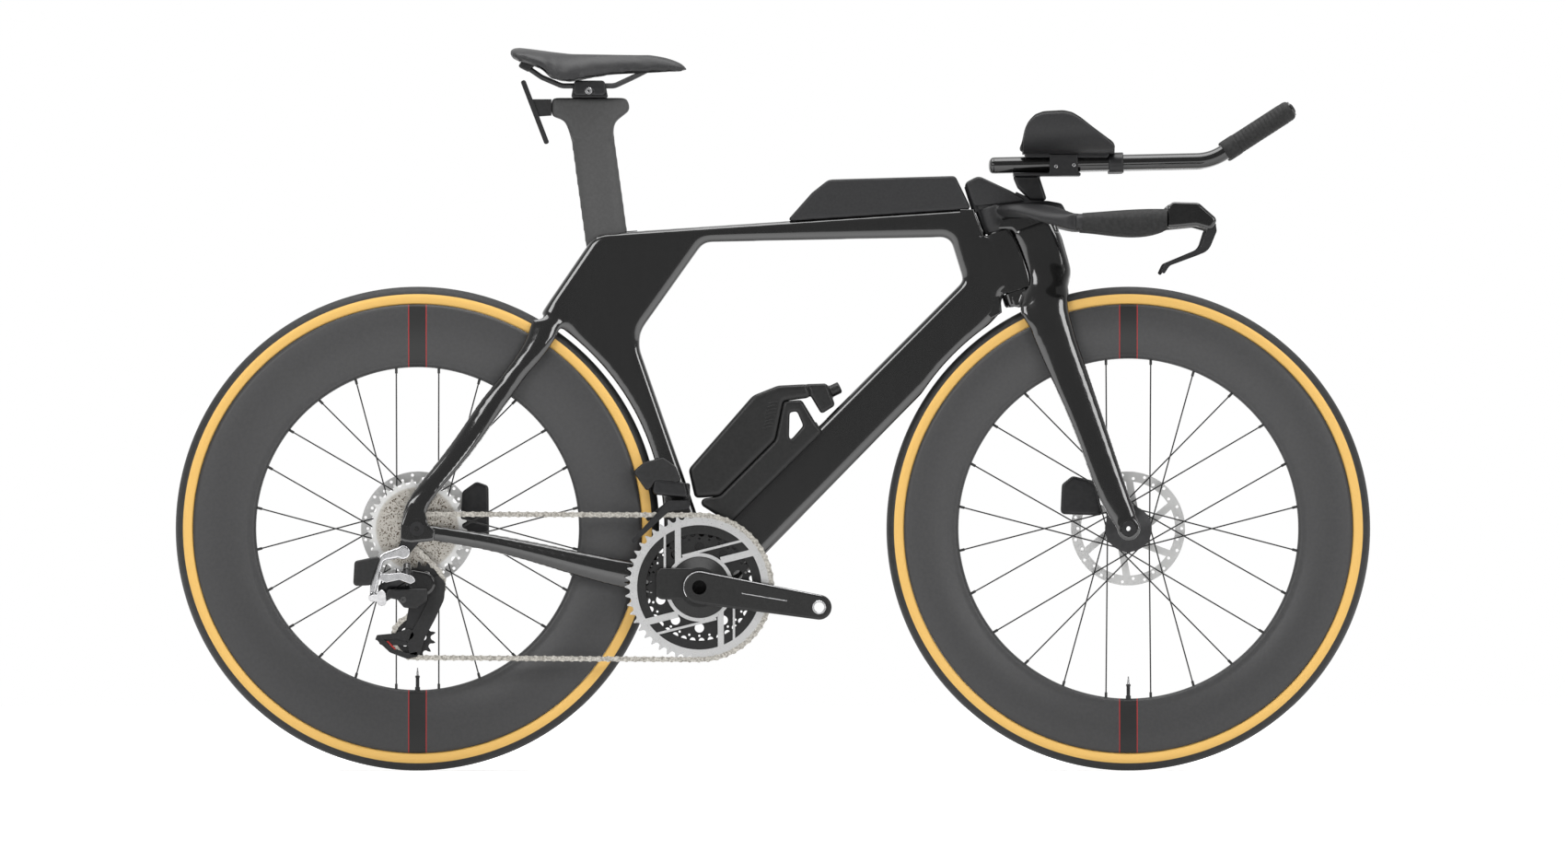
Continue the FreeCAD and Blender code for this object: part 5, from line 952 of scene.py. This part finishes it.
# %% Housings and clamps
SOFT_PARTS = (
    ("rear_caliper", "frame_body", ALLOY, 0.0014, 8),
    ("front_caliper", "steering_body", ALLOY, 0.0014, 8),
    ("front_derailleur_body", "frame_body", ALLOY, 0.0012, 5),
    ("front_derailleur_battery", "frame_body", NYLON, 0.0012, 6),
    ("rear_derailleur_battery", "frame_body", NYLON, 0.0012, 6),
    ("rear_derailleur_base", "frame_body", BRIGHT, 0.0007, 12),
    ("rear_derailleur_knuckle", "rear_knuckle", SHINY, 0.0008, 8),
    ("lever_bodies", "steering_body", SHINY, 0.0011, 6),
    ("saddle_clamp", "seat_body", ALLOY, 0.0012, 4),
    ("riser", "steering_body", ALLOY, 0.0012, 3),
)
for node, body, look, grid, rounds in SOFT_PARTS:
    dress(flow(node + "_form", [node], grid=grid, rounds=rounds), body, *look, node)
for node, body in (("bottle", "bottle_body"), ("bottle_cradle", "frame_body")):
    form = fatten(flow(node + "_form", [node], grid=0.0018, rounds=5), depth=0.0005)
    dress(form, body, BOTTLE, "bottle", node)

# %% Foot of the cradle and ribs on the bottle
FOOT = [(-70, 343, 3), (66, 479, 3), (60, 490, 3), (-74, 356, 3)]
RIB_SIDE, RIB_COUNT, RIB_THICK = -25.3, 8, 0.9
RIB_START, RIB_STEP = (-14, 479), (1.1, 5.0)
RIB_SHAPE = ((0, 0), (7, 2.4), (14, 2.6))
mould("cradle_foot", FOOT, "frame_body", BOTTLE, "bottle", half=13, edge=2.5)
for k in range(RIB_COUNT):
    x, z = (start + step * k for start, step in zip(RIB_START, RIB_STEP))
    points = [(x + dx, RIB_SIDE, z + dz) for dx, dz in RIB_SHAPE]
    dress(tube("bottle_rib_%d" % k, points, RIB_THICK), "bottle_body", BOTTLE, "bottle")

# %% [markdown]
# ### Rear derailleur
# A bright forged link joins the base to the knuckle. The cage is a long black arm that sweeps down to
# the lower pulley, with a fin behind it and a thin red mark.

# %% Link and motor housing
LINK = [(-549, 277, 4), (-536, 276, 3), (-520, 278, 3), (-503, 273, 4), (-499, 266, 3), (-506, 262, 3),
        (-522, 268, 3), (-540, 264, 3), (-551, 268, 3)]
MOTOR = [(-540, 255, 4), (-540, 243, 3), (-525, 240, 3), (-516, 229, 5), (-500, 227, 5), (-484, 238, 5),
         (-482, 256, 5)]
mould("rear_link_arm", LINK, "rear_outer_link", *BRIGHT, y=-118.5, half=2.4, edge=1.0)
mould("rear_motor_housing", MOTOR, "rear_knuckle", *NYLON, y=-96, half=10, edge=3)
bolt = ring("rear_motor_bolt", (-0.517, 0, 0.240), y_low=-107.2, y_high=-105.8, r_in=0.8, r_out=4.6)
dress(bolt, "rear_knuckle", STEEL, "bearing_steel", smooth=False)

# %% Cage
CAGE_PLATES = {
    "rear_cage_arm": [(-470, 276, 8), (-458, 264, 10), (-460, 240, 25), (-473, 212, 40), (-487, 186, 20),
                      (-494, 163, 6), (-507, 159, 6), (-512, 178, 10), (-507, 192, 8), (-496, 212, 25),
                      (-484, 236, 20), (-482, 258, 8)],
    "rear_cage_fin": [(-557, 183, 2), (-554, 190.5, 2), (-528, 193, 8), (-508, 201, 6), (-500, 190, 6),
                      (-510, 181, 6), (-528, 185, 8)],
    "rear_cage_foot": [(-556, 185, 2), (-545, 185, 3), (-530, 171, 14), (-510, 165, 10), (-497, 168, 3),
                       (-497, 160, 3), (-512, 157, 10), (-536, 166, 14)],
}
MARK = [(-541, 182, 0.5), (-538, 182, 0.5), (-527, 170.5, 0.5), (-530, 170.5, 0.5)]
for name, corners in CAGE_PLATES.items():
    mould(name, corners, "rear_cage", *NYLON, y=-73.4, half=1.7, edge=0.6)
mould("rear_cage_mark", MARK, "rear_cage", RED, "black_plastic", y=-75.2, half=0.3, edge=0.1)

# %% [markdown]
# ### Cranks
# The outer chainring has a machined silver face over a black inner band. The crank arm is satin black
# with a thin bright line round its boss and along its upper edge, a plain stripe, and a steel thread
# for the pedal.

# %% Chainring band
band = ring("ring_black_band", CRANK, y_low=-46.9, y_high=-45.2, r_in=74.6, r_out=91.5)
dress(band, "crankset", CRANK_BLACK, "black_alloy", smooth=False)

# %% Lines, stripe and pedal thread on the crank arm
ARM_FACE = -73.0
ARM_TURN = math.radians(-9.4)
BOSS, PEDAL_BOSS, ARM_LENGTH = 23.0, 17.5, 170.0
LINE_INSET, LINE_SINK, LINE_THICK = 1.2, 0.5, 0.55
LINE_START, LINE_STEPS = math.radians(215), 24
STRIPE_FROM, STRIPE_TO, STRIPE_HALF, STRIPE_LIFT = 60, 124, 0.55, 1.5
boss = (CRANK.x / MM, CRANK.z / MM)
along = Vector((math.cos(ARM_TURN), math.sin(ARM_TURN)))
pedal = (boss[0] + ARM_LENGTH * along.x, boss[1] + ARM_LENGTH * along.y)
tangent = ARM_TURN + math.acos((BOSS - PEDAL_BOSS) / ARM_LENGTH)


def on_arm(middle, radius, turn):
    reach = radius - LINE_INSET
    return (middle[0] + reach * math.cos(turn), ARM_FACE + LINE_SINK, middle[1] + reach * math.sin(turn))


turns = [LINE_START + (tangent - LINE_START) * k / LINE_STEPS for k in range(LINE_STEPS + 1)]
line = [on_arm(boss, BOSS, turn) for turn in turns] + [on_arm(pedal, PEDAL_BOSS, tangent)]
dress(tube("crank_edge_line", line, LINE_THICK), *ON_CRANK)
stripe = []
for reach, half in ((STRIPE_FROM, STRIPE_HALF), (STRIPE_TO, STRIPE_HALF),
                    (STRIPE_TO, -STRIPE_HALF), (STRIPE_FROM, -STRIPE_HALF)):
    lift = half + STRIPE_LIFT
    x, z = reach * along.x - lift * along.y, reach * along.y + lift * along.x
    stripe.append((boss[0] + x, boss[1] + z, 0.3))
mould("crank_stripe", stripe, *ON_CRANK, y=ARM_FACE - 0.05, half=0.25, edge=0.1)
thread = ring("pedal_thread", (pedal[0] * MM, 0, pedal[1] * MM), y_low=ARM_FACE - 0.4, y_high=ARM_FACE + 3,
              r_in=7.2, r_out=9.6)
dress(thread, *ON_CRANK, smooth=False)

# %% [markdown]
# ### Saddle and arm pads
# Foam under a thin cover. Each pad starts a little small, is drawn over an even grid, and a cloth
# simulation with air pressure inside swells it to its crown.

# %% Air inside a cover
CLOTH_FRAMES = 20
AIR = 4.0


def soften(obj):
    soft = obj.modifiers.new("soft", "SUBSURF")
    soft.levels = 1
    soft.render_levels = 1
    return apply_modifiers(obj)


def swell(obj, shrink, cap):
    base = [v.co.copy() for v in obj.data.vertices]
    normals = [v.normal.copy() for v in obj.data.vertices]
    for v, n in zip(obj.data.vertices, normals):
        v.co = v.co - n * shrink
    cloth = obj.modifiers.new("cover", "CLOTH")
    cloth.settings.quality = 6
    cloth.settings.use_pressure = True
    cloth.settings.uniform_pressure_force = AIR
    cloth.settings.effector_weights.gravity = 0.0
    cloth.point_cache.frame_start = 1
    cloth.point_cache.frame_end = CLOTH_FRAMES
    for number in range(1, CLOTH_FRAMES + 1):
        bpy.context.scene.frame_set(number)
    apply_modifiers(obj)
    bpy.context.scene.frame_set(1)
    moved = 0.0
    for v, start in zip(obj.data.vertices, base):
        move = v.co - start
        if move.length > cap:
            v.co = start + move * (cap / move.length)
        moved = max(moved, (v.co - start).length)
    soften(obj)
    print(obj.name, "moved at most", round(moved / MM, 2), "mm")


# %% Saddle cushion: stations from tail to nose
SADDLE_TOP = [(-371, 1006), (-367, 1010), (-361, 1011), (-341, 1009), (-310, 1005), (-283, 1002),
              (-230, 1001.5), (-167, 1001), (-150, 999), (-141, 997), (-128, 992.5), (-122, 988),
              (-119, 984)]
SADDLE_LOW = [(-371, 1000), (-361, 996), (-341, 990), (-322, 981), (-309, 967), (-296, 963), (-283, 964.5),
              (-257, 970), (-230, 974.5), (-206, 977.5), (-167, 978), (-128, 979), (-119, 981)]
SADDLE_HALF = [(-371, 40), (-367, 52), (-361, 60), (-345, 67), (-322, 68), (-305, 64), (-290, 56),
               (-270, 45), (-250, 37), (-220, 28.5), (-190, 23), (-150, 19), (-135, 16.5), (-126, 12.5),
               (-121, 8), (-119, 4)]
SIDE_POWER, CROWN_POWER = 0.62, 0.8
GROOVE_DEEP, GROOVE_WIDE, GROOVE_RUN = 1.6, 7.0, (-355, -160, 30)
UNDER_RISE, UNDER_SHARE, UNDER_WIDE = 3.0, 0.4, 0.9
AROUND, BELOW = 30, 8


def saddle_section(x):
    top, low, wide = between(SADDLE_TOP, x), between(SADDLE_LOW, x), between(SADDLE_HALF, x)
    points = []
    for k in range(AROUND + 1):
        turn = math.pi * k / AROUND
        y = wide * bow(math.cos(turn), SIDE_POWER)
        z = low + (top - low) * math.sin(turn) ** CROWN_POWER
        groove = GROOVE_DEEP * math.exp(-(y / GROOVE_WIDE) ** 2) * within(x, *GROOVE_RUN)
        points.append(Vector((x, y, z - groove)) * MM)
    under = min(UNDER_RISE, UNDER_SHARE * (top - low))
    for k in range(1, BELOW):
        y = -wide + 2 * wide * k / BELOW
        points.append(Vector((x, y * UNDER_WIDE, low + under)) * MM)
    return points


stations = [-371, -369, -366, -361] + list(range(-355, -128, 5)) + [-126, -123, -121, -119]
cushion = lofted("saddle_cushion", [saddle_section(x) for x in stations])
even_out(cushion, grid=0.0030, rounds=4)
swell(cushion, shrink=0.0003, cap=0.0022)
dress(cushion, "seat_body", HIDE, "saddle", "saddle_pad")

# %% Sockets of the saddle rails
SOCKET = [(-357, 986, 3), (-343, 979, 3), (-332, 990, 3), (-348, 1000, 3)]
mould_pair("rail_sockets", SOCKET, "seat_body", *NYLON, y=33.0, half=8, edge=2)

# %% [markdown]
# ### Arm rests
# Each forearm lies in a moulded carbon trough with a foam pad that stands a little proud of its rim.
# Both are sheets bent round the arm, trimmed to the same side outline and given their thickness.

# %% Troughs and pads
REST_TOP = [(348.5, 868), (350, 884), (353, 900), (358, 911), (366, 919), (378, 923.5), (406, 925),
            (418, 922.5), (430, 915.5), (455, 896), (478, 877), (479.5, 872)]
REST_Y, REST_Z = 78.0, 909.25
ACROSS, ALONG = 26, 44
DENSE_END, DENSE_POWER, DENSE_SHARE, OPEN_PACE = 0.3, 1.5, 0.1643, 1.19387


def station(t):
    return t ** DENSE_POWER if t < DENSE_END else DENSE_SHARE + (t - DENSE_END) * OPEN_PACE


def bent_row(x, side, radius, lower):
    quarter = radius * math.pi / 2
    rise = between(REST_TOP, x) - lower - REST_Z
    reach = radius * math.acos(min(1.0, -rise / radius)) if rise < 0 else quarter + rise
    points = []
    for j in range(ACROSS + 1):
        length = reach * (2 * j / ACROSS - 1)
        turn = min(abs(length), quarter) / radius
        up = max(0.0, abs(length) - quarter)
        y = math.copysign(radius * math.sin(turn), length)
        points.append(Vector((x, side * REST_Y + y, REST_Z - radius * math.cos(turn) + up)) * MM)
    return points


def bent_sheet(name, radius, thick, lower, x_from, x_to):
    bm = bmesh.new()
    for side in (-1, 1):
        places = [x_from + (x_to - x_from) * station(i / ALONG) for i in range(ALONG + 1)]
        rows = [[bm.verts.new(point) for point in bent_row(x, side, radius, lower)] for x in places]
        for a, b in zip(rows, rows[1:]):
            for j in range(ACROSS):
                bm.faces.new((a[j], a[j + 1], b[j + 1], b[j]))
    obj = from_faces(name, bm)
    body = obj.modifiers.new("thickness", "SOLIDIFY")
    body.thickness = thick * MM
    body.offset = 0.0
    return soften(obj)


cups = bent_sheet("arm_trough", radius=44.0, thick=4.0, lower=3.0, x_from=350.0, x_to=478.0)
dress(cups, *ON_BAR, "arm_cups")
pads = bent_sheet("arm_cushions", radius=38.0, thick=7.0, lower=0.0, x_from=348.8, x_to=479.0)
swell(pads, shrink=0.0003, cap=0.0009)
dress(pads, "steering_body", FOAM, "pad", "arm_pads")

# %% [markdown]
# ### Extensions
# Rubber sleeves with shallow rings cover the raised ends. A smooth collar closes each sleeve below, the
# shift button sits in its tip, and a rounded plug closes the rear end of each tube.

# %% Sleeves, buttons and plugs
BEND = (613.63, 854.15)
RAISED = (113.0, 0, 73.0)
SLEEVE_SIDE = 61.0
SLEEVE_RINGS, RING_FROM, RING_PITCH = 13, 44.2, 5.9
REAR_END, REARWARD = (309.6, 847.65), (-1, 0, -0.015)
sleeve = [(22.0, 11.4), (22.4, 13.6), (24.0, 14.7), (26.0, 15.0), (41.0, 15.0), (43.0, 14.7), (43.6, 13.7)]
for k in range(SLEEVE_RINGS):
    foot = RING_FROM + RING_PITCH * k
    sleeve += [(foot, 13.6), (foot + 0.9, 14.35), (foot + 2.9, 14.55), (foot + 4.9, 14.35)]
sleeve += [(121.2, 13.8), (122.0, 14.2), (127.0, 14.2), (130.5, 13.3), (132.5, 11.6), (133.0, 9.4),
           (132.0, 9.2)]
button = [(127.0, 8.4), (133.4, 8.4), (135.2, 7.6), (136.6, 5.6), (137.2, 2.6)]
plug = [(-4.0, 8.6), (0.0, 8.7), (0.1, 11.1), (2.6, 10.7), (4.6, 9.4), (6.0, 7.0), (6.8, 3.0)]


def on_tube(side, place, way, profile):
    return (place[0], side * SLEEVE_SIDE, place[1]), way, profile


sleeves = turned("extension_sleeves", [on_tube(side, BEND, RAISED, sleeve) for side in (-1, 1)])
dress(sleeves, "steering_body", GRIP, "grip", "extension_grips")
for side, label in ((-1, "right"), (1, "left")):
    dome = turned("shift_button_%s_dome" % label, [on_tube(side, BEND, RAISED, button)])
    dress(dome, label + "_button", *NYLON, "shift_button_" + label)
plugs = turned("extension_plugs", [on_tube(side, REAR_END, REARWARD, plug) for side in (-1, 1)])
dress(plugs, "steering_body", *SHINY)

# %% [markdown]
# ### Bolts, and a disc on the end of the rear axle
# Small turned fasteners: the saddle clamp bolt and the bolts of the extension clamps. A black disc sits on
# the end of the rear axle, and where it covers the axle's hollow bore it is painted shade.

# %% Fasteners
BOLTS = (("saddle_clamp_bolt", (-258, 952), -36.2, -34.4, 1.6, 4.8, "seat_body"),
         ("extension_bolt_rear", (396, 846), -79.6, -77.6, 1.0, 2.6, "steering_body"),
         ("extension_bolt_front", (421, 848), -79.6, -77.6, 1.0, 2.6, "steering_body"))
for name, (x, z), low, high, inner, outer, body in BOLTS:
    head = ring(name, (x * MM, 0, z * MM), low, high, inner, outer)
    dress(head, body, *BRIGHT, smooth=False)
axle_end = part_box("rear_axle")[1][1] / MM
# A black disc on the axle end. Its middle, over the hollow bore, is painted shade.
cap = ring("rear_axle_end_and_bore_shade", REAR_AXLE, axle_end, axle_end + 1.6, r_in=0.3, r_out=6.5)
dress(cap, "frame_body", *ALLOY, smooth=False)

# %% [markdown]
# ### Finishes on the measured parts
# The remaining parts keep the model's own surfaces. Each takes the finish of its material slot, and a
# few have a finish of their own.

# %% Slot finishes
SLOT_FINISH = {
    "matte_carbon": MATTE, "black_alloy": BLACK_ALLOY, "bearing_steel": STEEL, "chain_steel": CHAIN,
    "rotor_steel": ROTOR_REAR, "spoke": SPOKES, "black_gloss": GLOSS, "black_plastic": PLASTIC,
    "grip": GRIP,
}
NODE_FINISH = {
    "front_rotor": ROTOR_FRONT, "cassette": COGS, "chainring_outer": RING,
    "crank_right": CRANK_BLACK, "crank_left": CRANK_BLACK, "chainring_inner": CRANK_BLACK,
}
nodes_slots = {part["node"]: part["material_slot"] for part in frame["record"]["subparts"]}
for name, obj in NODES.items():
    if obj.hide_render:
        continue
    material = NODE_FINISH.get(name) or SLOT_FINISH[nodes_slots[name]]
    obj.data.materials.clear()
    obj.data.materials.append(material)
print("dressed", sum(not o.hide_render for o in NODES.values()), "measured parts")

# %% Size of the scene's objects
low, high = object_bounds()
print("size", [round(high[i] - low[i], 4) for i in range(3)])
